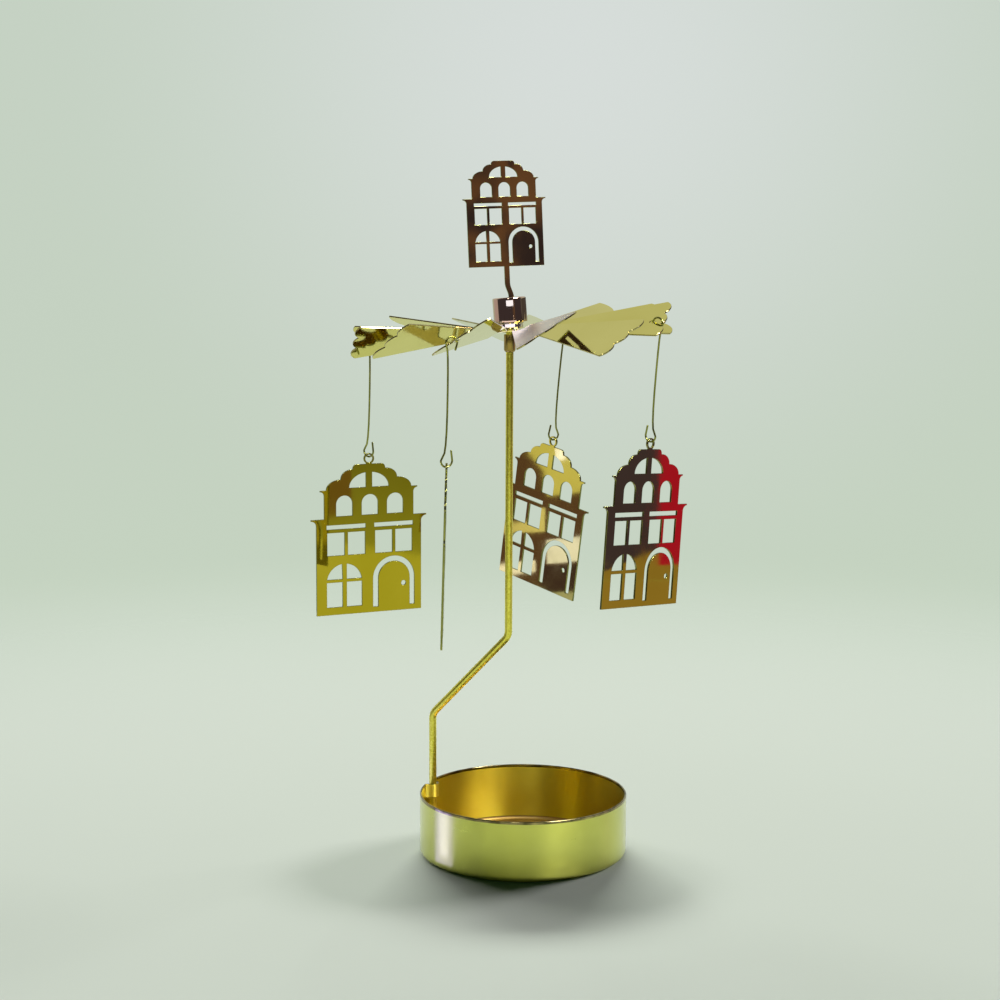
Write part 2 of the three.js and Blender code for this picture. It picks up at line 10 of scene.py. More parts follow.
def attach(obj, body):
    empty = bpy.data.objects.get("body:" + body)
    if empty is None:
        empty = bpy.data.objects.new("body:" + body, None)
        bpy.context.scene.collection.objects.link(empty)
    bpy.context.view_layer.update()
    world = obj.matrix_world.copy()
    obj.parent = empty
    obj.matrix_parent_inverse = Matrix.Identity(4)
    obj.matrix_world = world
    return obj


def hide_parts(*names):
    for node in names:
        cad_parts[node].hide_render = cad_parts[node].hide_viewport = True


# A turning candle holder in gilt sheet metal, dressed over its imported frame.
# Sizes are typed in millimetres and turned into metres by mm; angles are typed in degrees.

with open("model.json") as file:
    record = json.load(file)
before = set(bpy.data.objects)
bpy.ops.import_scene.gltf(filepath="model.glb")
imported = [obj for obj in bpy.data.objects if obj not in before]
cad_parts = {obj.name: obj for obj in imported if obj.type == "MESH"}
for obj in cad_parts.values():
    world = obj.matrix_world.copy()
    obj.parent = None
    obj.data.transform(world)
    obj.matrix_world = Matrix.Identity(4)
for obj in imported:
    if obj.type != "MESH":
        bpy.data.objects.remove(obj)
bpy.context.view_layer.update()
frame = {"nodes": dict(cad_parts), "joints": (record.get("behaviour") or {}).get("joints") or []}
mm = 0.001
joints = {joint["name"]: joint for joint in frame["joints"]}


def turnAbout(axis, degrees):
    return Matrix.Rotation(math.radians(degrees), 4, axis)


def movedBy(x, y, z):
    return Matrix.Translation(Vector((x, y, z)) * mm)


def addObject(name, data):
    thing = bpy.data.objects.new(name, data)
    bpy.context.scene.collection.objects.link(thing)
    return thing


# camera

camera = {"place": (0, -481.0, 154.1), "pitch": 9.02, "roll": 0.23, "yaw": -0.63, "lens": 82.0, "sensor": 36,
          "nearest": 10}


def makeCamera(settings):
    # it looks level and straight on, is turned by yaw, tipped down by pitch and rolled about its own line
    data = bpy.data.cameras.new("photoCamera")
    data.lens = settings["lens"]
    data.sensor_width = settings["sensor"]
    data.clip_start = settings["nearest"] * mm
    eye = addObject("photoCamera", data)
    eye.matrix_world = (movedBy(*settings["place"]) @ turnAbout("Z", -settings["yaw"])
                        @ turnAbout("X", 90 - settings["pitch"]) @ turnAbout("Z", settings["roll"]))
    bpy.context.scene.camera = eye


makeCamera(camera)
print("camera placed")


# nodes

def clearTree(owner):
    owner.use_nodes = True
    owner.node_tree.nodes.clear()
    return owner.node_tree


def addNode(tree, kind, inputs=None, **settings):
    # gives the new node's outputs; an input takes a value, a colour of three parts or another node's output
    node = tree.nodes.new("ShaderNode" + kind)
    for key, value in settings.items():
        setattr(node, key, value)
    for key, value in (inputs or {}).items():
        socket = node.inputs[key]
        if isinstance(value, bpy.types.NodeSocket):
            tree.links.new(value, socket)
        else:
            socket.default_value = (*value, 1) if socket.type == "RGBA" else value
    return node.outputs


def addRamp(tree, factor, stops):
    # colours in order along the factor, each stop a position and a colour
    ramp = tree.nodes.new("ShaderNodeValToRGB")
    elements = ramp.color_ramp.elements
    while len(elements) < len(stops):
        elements.new(0.5)
    for element, (position, tone) in zip(elements, stops):
        element.position = position
        element.color = (*tone, 1)
    tree.links.new(factor, ramp.inputs["Fac"])
    return ramp.outputs["Color"]


def addNoise(tree, vector, scale, detail, roughness=0.5, distortion=0.0):
    return addNode(tree, "TexNoise", {"Vector": vector, "Scale": scale, "Detail": detail, "Roughness": roughness,
                                      "Distortion": distortion})["Fac"]


def smoothStep(tree, value, low, high):
    return addNode(tree, "MapRange", {"Value": value, "From Min": low, "From Max": high},
                   interpolation_type="SMOOTHSTEP")["Result"]


def mixColours(tree, factor, first, second):
    return addNode(tree, "Mix", {"Factor": factor, "A": first, "B": second}, data_type="RGBA")["Result"]


def mixShaders(tree, factor, first, second):
    return addNode(tree, "MixShader", {"Fac": factor, 1: first, 2: second})["Shader"]


# metals

def gilt(name, look):
    # metal whose tone drifts between two tints; smudges and a grain roughen it, and broad dents and the grain
    # bend what it mirrors
    material = bpy.data.materials.new(name)
    tree = clearTree(material)
    place = addNode(tree, "TexCoord")["Object"]

    def noise(kind, vector):
        return addNoise(tree, vector, look[kind + "Scale"], *look[kind + "Noise"])

    def bump(height, strength, distance, **below):
        return addNode(tree, "Bump", {"Height": height, "Strength": strength, "Distance": distance, **below})["Normal"]

    tone = addRamp(tree, noise("tone", place), list(zip(look["toneEnds"], (look["dark"], look["light"]))))
    stretched = addNode(tree, "Mapping", {"Vector": place, "Scale": look["grainStretch"]})["Vector"]
    grain = noise("grain", stretched)
    ends = zip(("From Min", "From Max", "To Min", "To Max"), (*look["smudgeEnds"], *look["rough"]))
    dull = addNode(tree, "MapRange", {"Value": noise("smudge", place), **dict(ends)})["Result"]
    rough = addNode(tree, "Math", {0: grain, 1: look["grainRough"], 2: dull}, operation="MULTIPLY_ADD")["Value"]
    dents = bump(noise("dent", place), look["dentBump"], look["dentDepth"])
    bent = bump(grain, look["grainBump"], look["grainDepth"], Normal=dents)
    finish = {"Base Color": tone, "Roughness": rough, "Normal": bent, "Metallic": 1.0,
              "Anisotropic": look["brushed"], "Anisotropic Rotation": look["brushTurn"],
              "Coat Weight": look["coat"], "Coat Roughness": look["coatRough"]}
    if look["brushed"]:
        finish["Tangent"] = addNode(tree, "Tangent", direction_type="RADIAL", axis="Z")["Tangent"]
    addNode(tree, "OutputMaterial", {"Surface": addNode(tree, "BsdfPrincipled", finish)["BSDF"]})
    return material


# depths are in metres, scales per metre; a noise has a detail, a roughness and perhaps a distortion
polished = {
    "dark": (0.49, 0.375, 0.018), "light": (0.54, 0.415, 0.028), "toneScale": 60.0, "smudgeScale": 140.0,
    "grainScale": 900.0, "grainStretch": (1, 1, 0.12), "grainRough": 0.01, "grainBump": 0.03, "grainDepth": 0.00002,
    "dentScale": 45.0, "dentBump": 0.10, "dentDepth": 0.00025, "rough": (0.015, 0.06), "brushed": 0.0, "coat": 0.0,
    "toneNoise": (4.0, 0.6), "grainNoise": (3.0, 0.55), "smudgeNoise": (5.0, 0.65, 0.6), "dentNoise": (2.0, 0.4),
    "toneEnds": (0.3, 0.72), "smudgeEnds": (0.35, 0.7), "brushTurn": 0.25, "coatRough": 0.22,
}
cupOutside = dict(polished, dark=(0.60, 0.61, 0.09), light=(0.67, 0.68, 0.13), grainScale=500.0,
                  grainStretch=(0.06, 0.06, 6.0), grainBump=0.16, grainRough=0.06, rough=(0.25, 0.31),
                  dentBump=0.12, brushed=0.85, coat=1.0)
cupWithin = dict(cupOutside, dark=(0.66, 0.55, 0.04), light=(0.75, 0.64, 0.07), rough=(0.28, 0.36), coat=0.0)
# edges of the pierced sheets: a darkened olive copy of the gold, painted shade that draws them as dark outlines
shadedEdge = dict(polished, dark=(0.16, 0.17, 0.05), light=(0.32, 0.31, 0.09), toneScale=350.0, rough=(0.12, 0.26),
                grainBump=0.2)
vaneFace = dict(polished, dark=(0.66, 0.60, 0.13), light=(0.72, 0.66, 0.17))
looks = {
    "cupGold": cupOutside,
    "cupInside": cupWithin,
    # the cup's inner floor: a dark brown copy of the gold, painted shade in the hollow
    "cupFloorPaintedShade": dict(polished, dark=(0.20, 0.12, 0.03), light=(0.34, 0.23, 0.07), rough=(0.40, 0.52)),
    # the strap: a brighter copy of the inside gold, painted light for its lit face
    "strapPaintedLight": dict(cupWithin, dark=(0.96, 0.84, 0.10), light=(1.0, 0.92, 0.18), rough=(0.36, 0.44)),
    # rims and the strap's edges: a darkened copy of the gold, painted shade so they read as dark lines
    "cupRimPaintedShade": dict(polished, dark=(0.05, 0.04, 0.012), light=(0.46, 0.38, 0.18), toneScale=350.0,
                   rough=(0.06, 0.16)),
    "rodGold": dict(polished, dark=(0.64, 0.55, 0.04), light=(0.98, 0.90, 0.18), toneScale=2200.0,
                    grainScale=2600.0, grainStretch=(1, 1, 0.6), grainBump=0.3, grainDepth=0.00003,
                    grainRough=0.10, rough=(0.22, 0.34)),
    "sleeveBrass": dict(polished, dark=(0.30, 0.20, 0.05), light=(0.42, 0.30, 0.09), rough=(0.12, 0.24)),
    "vaneGold": vaneFace,
    "houseGold1": polished,
    "houseGold2": dict(polished, dark=(0.50, 0.44, 0.18), light=(0.60, 0.54, 0.26)),
    "houseGold3": dict(polished, dark=(0.58, 0.46, 0.17), light=(0.64, 0.52, 0.21)),
    "houseGold4": dict(polished, dark=(0.50, 0.37, 0.040), light=(0.55, 0.41, 0.055)),
    "cutEdgePaintedShade": shadedEdge,
    # the vanes' edges: the same painted shade, a little paler
    "vaneEdgePaintedShade": dict(shadedEdge, dark=(0.26, 0.22, 0.07), light=(0.62, 0.54, 0.24), rough=(0.06, 0.16)),
    # one vane's faces: a pale mauve, rougher copy of the vane gold; the mauve is a painted reflection of a pinkish
    # sheen
    "vanePaintedSheen": dict(vaneFace, dark=(0.66, 0.56, 0.50), light=(0.80, 0.73, 0.64), rough=(0.32, 0.42)),
    # the collar: near white pink, a painted highlight for the bright band under the cap
    "collarPaintedHighlight": dict(polished, dark=(0.88, 0.78, 0.76), light=(0.98, 0.92, 0.90), dentBump=0.01,
                       rough=(0.03, 0.08)),
    # the cap: gold with a rose tint, a painted reflection of a pinkish room
    "capPaintedRose": dict(polished, dark=(0.60, 0.42, 0.30), light=(0.70, 0.52, 0.38), grainStretch=(0.2, 0.2, 1),
                    dentBump=0.01, grainBump=0.01, grainRough=0.002, rough=(0.008, 0.025)),
    "topGold": dict(polished, dark=(0.52, 0.34, 0.20), light=(0.62, 0.43, 0.27)),
    "wireGold": dict(polished, dark=(0.20, 0.21, 0.04), light=(0.38, 0.37, 0.09), toneScale=500.0,
                     rough=(0.16, 0.30), grainScale=2500.0, grainBump=0.3),
    "bearingBrass": dict(polished, dark=(0.50, 0.38, 0.16), light=(0.62, 0.48, 0.22), rough=(0.22, 0.36),
                         grainStretch=(0.1, 0.1, 4)),
}
metals = {name: gilt(name, look) for name, look in looks.items()}
print("materials made")


# points and faces; points are in millimetres until makePiece

def unit(vectors):
    return vectors / np.linalg.norm(vectors, axis=-1, keepdims=True)


def allRound(sides):
    return np.linspace(0, 2 * math.pi, sides, endpoint=False)


def arc(x, y, radii, start, end, steps):
    # part of a circle, or of an ellipse where two radii are given
    angle = np.radians(np.linspace(start, end, steps + 1))
    return np.array([x, y]) + np.asarray(radii) * np.stack([np.cos(angle), np.sin(angle)], axis=-1)


def traced(*parts):
    # single points and runs of points, one after another in one line of pairs
    return np.concatenate([np.reshape(np.asarray(part, float), (-1, 2)) for part in parts])


def mirrored(points):
    return points[::-1] * [-1, 1]


def gridFaces(rows, columns, closeRows=False, closeColumns=False, start=0):
    # quads between neighbouring points of a grid, wrapped round where a direction is closed
    row = np.arange(rows if closeRows else rows - 1)[:, None]
    column = np.arange(columns if closeColumns else columns - 1)[None, :]
    nextRow, nextColumn = (row + 1) % rows, (column + 1) % columns
    corners = [row * columns + column, nextRow * columns + column,
               nextRow * columns + nextColumn, row * columns + nextColumn]
    return start + np.stack([np.broadcast_to(c, (row.size, column.size)).ravel() for c in corners], axis=-1)


def spun(profile, sides, centre=(0, 0)):
    # a closed profile of radius and height, turned round the vertical axis through the centre
    turn = allRound(sides)[:, None]
    radius, height = profile[:, 0], profile[:, 1]
    points = np.stack([centre[0] + radius * np.cos(turn), centre[1] + radius * np.sin(turn),
                       height + 0 * turn], axis=-1)
    return points.reshape(-1, 3), gridFaces(sides, len(profile), True, True)


def tube(path, radii, sides, across):
    # a circle carried along a path that lies in one plane, whose normal is across
    other = unit(np.cross(across, unit(np.gradient(path, axis=0))))
    turn = allRound(sides)[None, :, None]
    points = path[:, None, :] + radii[:, None, None] * (np.cos(turn) * across + np.sin(turn) * other[:, None, :])
    return points.reshape(-1, 3), gridFaces(len(path), sides, False, True)


def roundEnds(path, radius, steps=4):
    # the path with its two ends run out into half balls: the radius falls as a quarter circle
    angle = np.linspace(0, math.pi / 2, steps + 1)[1:]
    tipRadii = radius * np.cos(angle)
    tipRadii[-1] = 0
    first, last = (end + unit(end - before) * radius * np.sin(angle)[:, None]
                   for end, before in ((path[0], path[1]), (path[-1], path[-2])))
    return (np.concatenate([first[::-1], path, last]),
            np.concatenate([tipRadii[::-1], np.full(len(path), radius), tipRadii]))


def bendPath(corners, bendRadius, steps=14):
    # straight runs between the corners, each inner corner replaced by an arc of the bend radius
    path = [corners[:1]]
    for before, corner, after in zip(corners[:-2], corners[1:-1], corners[2:]):
        back, on = unit(before - corner), unit(after - corner)
        half = math.acos(back @ on) / 2
        middle, side = unit(back + on), unit(on - back)
        centre = corner + middle * bendRadius / math.sin(half)
        angle = np.linspace(half - math.pi / 2, math.pi / 2 - half, steps + 1)[:, None]
        path.append(centre + bendRadius * (np.sin(angle) * side - np.cos(angle) * middle))
    return np.concatenate([*path, corners[-1:]])


def thickSheet(middle, thickness, edge):
    # a sheet of even thickness on both sides of a grid of middle points, its rim rounded by the edge size:
    # the faces end an edge short of the rim, and two lines round the rim lie an edge inside the thickness
    normal = unit(np.cross(np.gradient(middle, axis=0), np.gradient(middle, axis=1)))
    inset = middle.copy()
    for take, put in ((np.s_[1], np.s_[0]), (np.s_[-2], np.s_[-1]),
                      (np.s_[:, 1], np.s_[:, 0]), (np.s_[:, -2], np.s_[:, -1])):
        step = inset[take] - inset[put]
        length = np.linalg.norm(step, axis=-1, keepdims=True)
        inset[put] += step / length * np.minimum(edge, 0.45 * length)  # and never past the next line
    rows, columns = middle.shape[:2]
    count = rows * columns
    index = np.arange(count).reshape(rows, columns)
    rim = np.concatenate([index[0, :-1], index[:-1, -1], index[-1, :0:-1], index[:0:-1, 0]])
    rimMiddle, rimOut = middle.reshape(-1, 3)[rim], normal.reshape(-1, 3)[rim] * (thickness / 2 - edge)
    points = np.concatenate([(inset + normal * thickness / 2).reshape(-1, 3),
                             (inset - normal * thickness / 2).reshape(-1, 3), rimMiddle + rimOut, rimMiddle - rimOut])
    faces = [gridFaces(rows, columns), gridFaces(rows, columns, start=count)[:, ::-1]]
    around = np.arange(len(rim))
    follow = np.roll(around, -1)
    rings = [rim, 2 * count + around, 2 * count + len(rim) + around, count + rim]
    faces += [np.stack([first, second, second[follow], first[follow]], axis=-1)
              for first, second in zip(rings[:-1], rings[1:])]
    slots = np.repeat([0, 1], [2 * len(faces[0]), 3 * len(rim)])  # the two faces, then the rim
    return points, np.concatenate(faces), slots


# pieces

def shadeSmooth(mesh, sharpAngle=35.0):
    mesh.polygons.foreach_set("use_smooth", np.ones(len(mesh.polygons), bool))
    mesh.set_sharp_from_angle(angle=math.radians(sharpAngle))


def tidyMesh(mesh, sharpAngle=35.0, merge=2e-7):
    # doubles are merged, flat leftovers dropped and the faces turned outwards
    work = bmesh.new()
    work.from_mesh(mesh)
    bmesh.ops.remove_doubles(work, verts=work.verts, dist=merge)
    bmesh.ops.dissolve_degenerate(work, edges=work.edges, dist=merge)
    bmesh.ops.recalc_face_normals(work, faces=work.faces)
    work.to_mesh(mesh)
    work.free()
    shadeSmooth(mesh, sharpAngle)


def makePiece(name, points, faces, metalNames, slots=None, place=None):
    mesh = bpy.data.meshes.new(name)
    mesh.from_pydata((points * mm).tolist(), [], faces.tolist())
    for metal in metalNames:
        mesh.materials.append(metals[metal])
    if slots is not None:
        mesh.polygons.foreach_set("material_index", slots.astype(np.int32))
    tidyMesh(mesh)
    if place is not None:
        mesh.transform(place)
    return addObject(name, mesh)


def removePiece(piece):
    mesh = piece.data
    bpy.data.objects.remove(piece)
    bpy.data.meshes.remove(mesh)


def cuttingBox(place, size):
    bpy.ops.mesh.primitive_cube_add(size=1)
    box = bpy.context.object
    box.data.transform(place @ Matrix.Diagonal((*(Vector(size) * mm), 1)))
    return box


def cutAway(piece, cutter):
    cut = piece.modifiers.new("cut", "BOOLEAN")
    cut.operation = "DIFFERENCE"
    cut.solver = "EXACT"
    cut.object = cutter
    bpy.context.view_layer.update()
    uncut = piece.data
    mesh = bpy.data.meshes.new_from_object(piece.evaluated_get(bpy.context.evaluated_depsgraph_get()))
    piece.modifiers.clear()
    piece.data = mesh
    bpy.data.meshes.remove(uncut)
    removePiece(cutter)
    tidyMesh(mesh)


def joinPieces(piece, others):
    # the others' meshes are added to the piece's own, which keeps its materials' order
    work = bmesh.new()
    work.from_mesh(piece.data)
    for other in others:
        work.from_mesh(other.data)
        removePiece(other)
    work.to_mesh(piece.data)
    work.free()
    shadeSmooth(piece.data)


def piercedPlate(name, outline, openings, thickness, edge, metalNames, place):
    # a flat outline less its openings, given thickness and a rounded edge; it lies across its own x and z
    curve = bpy.data.curves.new(name, "CURVE")
    curve.dimensions = "2D"
    curve.fill_mode = "BOTH"
    curve.extrude = (thickness / 2 - edge) * mm
    curve.bevel_depth = edge * mm
    curve.bevel_resolution = 1
    curve.offset = -edge * mm
    for loop in [outline, *openings]:
        spline = curve.splines.new("POLY")
        spline.points.add(len(loop) - 1)
        flat = np.zeros((len(loop), 4))
        flat[:, :2], flat[:, 3] = loop * mm, 1
        spline.points.foreach_set("co", flat.ravel())
        spline.use_cyclic_u = True
    holder = addObject(name + "Outline", curve)
    mesh = bpy.data.meshes.new_from_object(holder.evaluated_get(bpy.context.evaluated_depsgraph_get()))
    bpy.data.objects.remove(holder)
    bpy.data.curves.remove(curve)
    mesh.name = name
    mesh.materials.clear()
    for metal in metalNames:
        mesh.materials.append(metals[metal])
    tidyMesh(mesh, sharpAngle=50.0, merge=1e-6)
    normals = np.zeros(len(mesh.polygons) * 3)
    mesh.polygons.foreach_get("normal", normals)
    rim = np.abs(normals[2::3]) < 0.99  # every face that leans out of the plate's own two
    mesh.polygons.foreach_set("material_index", rim.astype(np.int32))
    mesh.polygons.foreach_set("use_smooth", rim)  # the flat faces stay flat mirrors
    mesh.transform(place @ turnAbout("X", 90))
    return addObject(name, mesh)


def dress(piece, body, nodes):
    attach(piece, body)
    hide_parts(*nodes)


# cup, with the strap that holds the rod

rod = {"diameter": 1.6, "wallGap": 0.25, "angle": 161.5, "footGap": 0.3, "footBevel": 0.08, "lowerBend": 29.1,
       "upperBend": 48.0, "bendRadius": 3.0, "top": (-3.35, 0.0), "pivotHeight": 118.0, "point": 3.0,
       "pointBulge": 1.15, "sides": 40}
cup = {"diameter": 45.0, "height": 13.3, "wall": 0.4, "floor": 0.5, "corner": 1.2, "rimRound": 0.19,
       "strapHeight": 3.0, "strapWall": 0.35, "strapSpread": 3.8, "strapClearance": 0.15, "strapEdge": 0.06,
       "strapFlare": 0.25, "strapSplay": 1.02, "overcut": 1.0, "clear": 0.4, "outerClear": 0.6, "innerClear": 0.9,
       "middleShare": 0.35, "sides": 192}
footReach = cup["diameter"] / 2 - cup["wall"] - rod["wallGap"] - rod["diameter"] / 2  # the rod's, from the middle


def makeCup(size, rodSize):
    # the profile runs up the outside over a rolled rim and down the inside to the floor; its straight lines
    # keep a little off the bends, which keeps their shading flat
    wall, corner, lip, floor = (size[key] for key in ("wall", "corner", "rimRound", "floor"))
    radius = size["diameter"] / 2
    within, innerCorner, top = radius - wall, corner - wall, size["height"] - lip
    clear, nearMiddle = size["clear"], radius * size["middleShare"]
    outside = traced([0, 0], np.linspace([nearMiddle, 0], [radius - corner - clear, 0], 4),
                     arc(radius - corner, corner, corner, -90, 0, 10),
                     np.linspace([radius, corner + size["outerClear"]], [radius, top - clear], 8))
    rim = traced(arc(radius - lip, top, lip, 0, 90, 5), arc(within + lip, top, lip, 90, 180, 5))
    inside = np.linspace([within, top - clear], [within, corner + size["innerClear"]], 8)
    bottom = traced(arc(within - innerCorner, floor + innerCorner, innerCorner, 0, -90, 8),
                    np.linspace([within - innerCorner - clear, floor], [nearMiddle, floor], 4), [0, floor])
    points, faces = spun(traced(outside, rim, inside, bottom), size["sides"])
    slots = np.repeat([0, 1, 2, 3], [len(outside) - 1, len(rim) + 1, len(inside), len(bottom)])
    piece = makePiece("cupShell", points, faces, ["cupGold", "cupRimPaintedShade", "cupInside", "cupFloorPaintedShade"],
                      np.tile(slots, size["sides"]))
    windowHeight = size["strapHeight"] + size["overcut"]
    place = movedBy(radius - wall / 2, 0, size["height"] + size["overcut"] - windowHeight / 2)
    cutAway(piece, cuttingBox(turnAbout("Z", rodSize["angle"]) @ place,
                              (4 * wall, size["strapSpread"] - 2 * size["strapWall"], windowHeight)))
    return piece


def makeStrap(size, rodSize):
    # in plan a band runs in from the wall, round the rod and back, its legs a little wider than the round;
    # it is carried up the strap's height
    reach = rodSize["diameter"] / 2 + size["strapClearance"] + size["strapWall"] / 2
    foot = (size["strapSpread"] - size["strapWall"]) / 2
    footX = math.sqrt((size["diameter"] / 2 - size["wall"] / 2) ** 2 - foot ** 2)
    leg = np.linspace([footX, -foot], [footReach + size["strapFlare"], -reach * size["strapSplay"]], 6)[:-1]
    plan = traced(leg, arc(footReach, 0, reach, 270, 90, 28), leg[::-1] * [1, -1])
    height = np.linspace(size["height"] - size["strapHeight"], size["height"], 9)
    middle = np.stack(np.broadcast_arrays(plan[:, :1], plan[:, 1:], height), axis=-1)
    points, faces, slots = thickSheet(middle, size["strapWall"], size["strapEdge"])
    return makePiece("cupStrap", points, faces, ["strapPaintedLight", "cupRimPaintedShade"], slots, turnAbout("Z", rodSize["angle"]))


dress(makeCup(cup, rod), "base", ["tealight_cup"])
dress(makeStrap(cup, rod), "base", ["tealight_cup"])
print("cup made")


# rod and sleeve

sleeve = {"diameter": 2.5, "length": 3.7, "chamfer": 0.4, "bore": 1.8, "topDrop": 4.775, "bevel": 0.08,
          "topRound": 0.1, "boreLift": 0.1, "footLift": 0.05, "softIn": 0.03, "softUp": 0.06, "sides": 64}


def makeRod(size, cupSize):
    # a bevelled foot whose first point closes it, the bent rod, and a point whose radius falls as 1 less a
    # power of the way up
    up, radius, bevel = np.array([0, 0, 1.0]), size["diameter"] / 2, size["footBevel"]
    angle = math.radians(size["angle"])
    foot = (footReach * math.cos(angle), footReach * math.sin(angle))
    corners = np.array([(*foot, cupSize["floor"] + size["footGap"]), (*foot, size["lowerBend"]),
                        (*size["top"], size["upperBend"]), (*size["top"], size["pivotHeight"] - size["point"])])
    bent = bendPath(corners, size["bendRadius"])[1:]
    climb = np.linspace(0, 1, 8)[1:]
    path = np.concatenate([corners[0] + np.outer([-1e-4, 0, bevel], up), bent,
                           corners[-1] + np.outer(climb * size["point"], up)])
    radii = np.concatenate([[0, radius - bevel, radius], np.full(len(bent), radius),
                            radius * (1 - climb ** size["pointBulge"])])
    points, faces = tube(path, radii, size["sides"], unit(np.cross(corners[2] - corners[1], up)))
    return makePiece("bentRod", points, faces, ["rodGold"])


def makeSleeve(size, rodSize):
    # down the bore, along the foot, over a softened chamfer and up to a rounded top
    top = rodSize["pivotHeight"] - size["topDrop"]
    bottom, outer, bore = top - size["length"], size["diameter"] / 2, size["bore"] / 2
    chamfer, bevel, bend, softUp = (size[key] for key in ("chamfer", "bevel", "topRound", "softUp"))
    profile = traced([bore, top - bevel], [bore, bottom + size["boreLift"]], [bore + bevel, bottom],
                     [outer - chamfer / 2 - bevel, bottom], [outer - chamfer / 2, bottom + size["footLift"]],
                     [outer - size["softIn"], bottom + chamfer - softUp], [outer, bottom + chamfer + softUp],
                     arc(outer - bend, top - bend, bend, 0, 90, 4), [bore + bevel, top])
    points, faces = spun(profile, size["sides"], rodSize["top"])
    return makePiece("rodSleeve", points, faces, ["sleeveBrass"])


dress(makeRod(rod, cup), "stand", ["stand_rod"])
dress(makeSleeve(sleeve, rod), "stand", ["rod_sleeve"])
print("rod and sleeve made")


# rotor: hub disc, vanes, cap

rotor = {"leanX": -3.8, "leanY": -4.58, "sheetDrop": 4.0, "thickness": 0.35, "edge": 0.06, "discDiameter": 14.0,
         "holeDiameter": 3.2, "vanes": 12, "firstAngle": 17.4, "twist": 27.0, "rootWidth": 2.7, "rootLength": 4.2,
         "notchRadius": 32.8, "tipWidth": 14.2, "lobes": 3, "lobeRise": 1.1, "weld": 0.6, "thinner": 0.02,
         "drops": (-0.5, 6, 0, 0, 0, 0, -0.2, -3.6, 0, 1.2, -2, 0), "dulledSheenVane": 2, "holeForHook": 1.4,
         "holeDepth": 4.0, "holeSides": 40, "discSides": 144, "lobePoints": 25, "lineShares": (0.2, 0.96, 0.985),
         "lineCounts": (16, 12)}
hooks = {"wire": 0.4, "loop": 1.3, "span": 23.4, "notchGap": 0.6, "shankTop": 0.6, "shankBottom": 0.1, "bend": 2.3,
         "upperEnd": 1.3, "lowerEnd": 1.9, "curl": 0.35, "sides": 14}
pendants = [
    {"vane": 6, "shift": 0.0, "turn": 18.0, "hookLean": 3.3, "yaw": 24.4, "lean": -0.1, "tilt": 0.0},
    {"vane": 3, "shift": 0.8, "turn": 41.0, "hookLean": 2.8, "yaw": 91.5, "lean": -0.6, "tilt": 1.5},
    {"vane": 9, "shift": 0.0, "turn": 40.0, "hookLean": -4.5, "yaw": -46.2, "lean": -9.0, "tilt": 0.0},
    {"vane": 0, "shift": 0.0, "turn": 24.0, "hookLean": -3.6, "yaw": 47.2, "lean": -5.2, "tilt": 0.0},
]
rotorPlace = (Matrix.Translation(Vector(joints["rotor_spin"]["pos_m"]))
              @ turnAbout("X", rotor["leanX"]) @ turnAbout("Y", rotor["leanY"]))
sheetPlace = rotorPlace @ movedBy(0, 0, -rotor["sheetDrop"])


def vanePlace(size, index):
    # round the hub, then bent down about the edge of the disc
    root = movedBy(size["discDiameter"] / 2, 0, 0)
    return (sheetPlace @ turnAbout("Z", -(size["firstAngle"] + index * 360 / size["vanes"]))
            @ root @ turnAbout("Y", size["drops"][index]) @ root.inverted())


def lobeRise(size, across):
    # how far the tip's arcs stand out of the line through its notches: each is part of the circle through two
    # notches and the lobe's top, whose radius is (half the width squared + the rise squared) / twice the rise
    width, rise = size["tipWidth"] / size["lobes"], size["lobeRise"]
    radius = (width ** 2 / 4 + rise ** 2) / (2 * rise)
    fromMiddle = np.mod(across + size["tipWidth"] / 2, width) - width / 2
    return np.sqrt(radius ** 2 - fromMiddle ** 2) - radius + rise


def makeVane(size, index):
    # a flat blade that narrows to its root, where it twists down to the disc; s runs out along the radius
    # to the lobed tip, with its lines close together at the twist and the tip, and v runs across, and each
    # cross line is turned about the radius by the twist there
    root, tipWidth = size["discDiameter"] / 2, size["tipWidth"]
    start = root - size["weld"]
    v = np.linspace(-1, 1, size["lobePoints"] * size["lobes"])[None, :]
    inLobes = np.clip(v, -0.99999, 0.99999)  # at 1 itself the next lobe would start
    (twisted, even, last), (close, wide) = size["lineShares"], size["lineCounts"]
    s = np.concatenate([np.linspace(0, twisted, close)[:-1], np.linspace(twisted, even, wide)[:-1],
                        [even, last, 1]])[:, None]
    tip = size["notchRadius"] + lobeRise(size, inLobes * tipWidth / 2)
    radius = start + s * (tip - start)
    share = np.clip((radius - root) / (size["notchRadius"] - root), -0.1, 1)
    across = v * (size["rootWidth"] / 2 + (tipWidth - size["rootWidth"]) / 2 * share)
    turned = np.clip((radius - root) / (size["rootLength"] - size["weld"]), 0, 1)
    twist = math.radians(size["twist"]) * turned ** 2 * (3 - 2 * turned)
    middle = np.stack([radius, across * np.cos(twist), across * np.sin(twist)], axis=-1)
    points, faces, slots = thickSheet(middle, size["thickness"] - size["thinner"], size["edge"])
    if index == size["dulledSheenVane"]:
        slots[slots == 0] = 2  # this vane's faces take a pale mauve copy of the gold, a painted reflection of a sheen, and are rougher
    return makePiece(f"vane{index + 1}", points, faces, ["vaneGold", "vaneEdgePaintedShade", "vanePaintedSheen"], slots,
                     vanePlace(size, index))


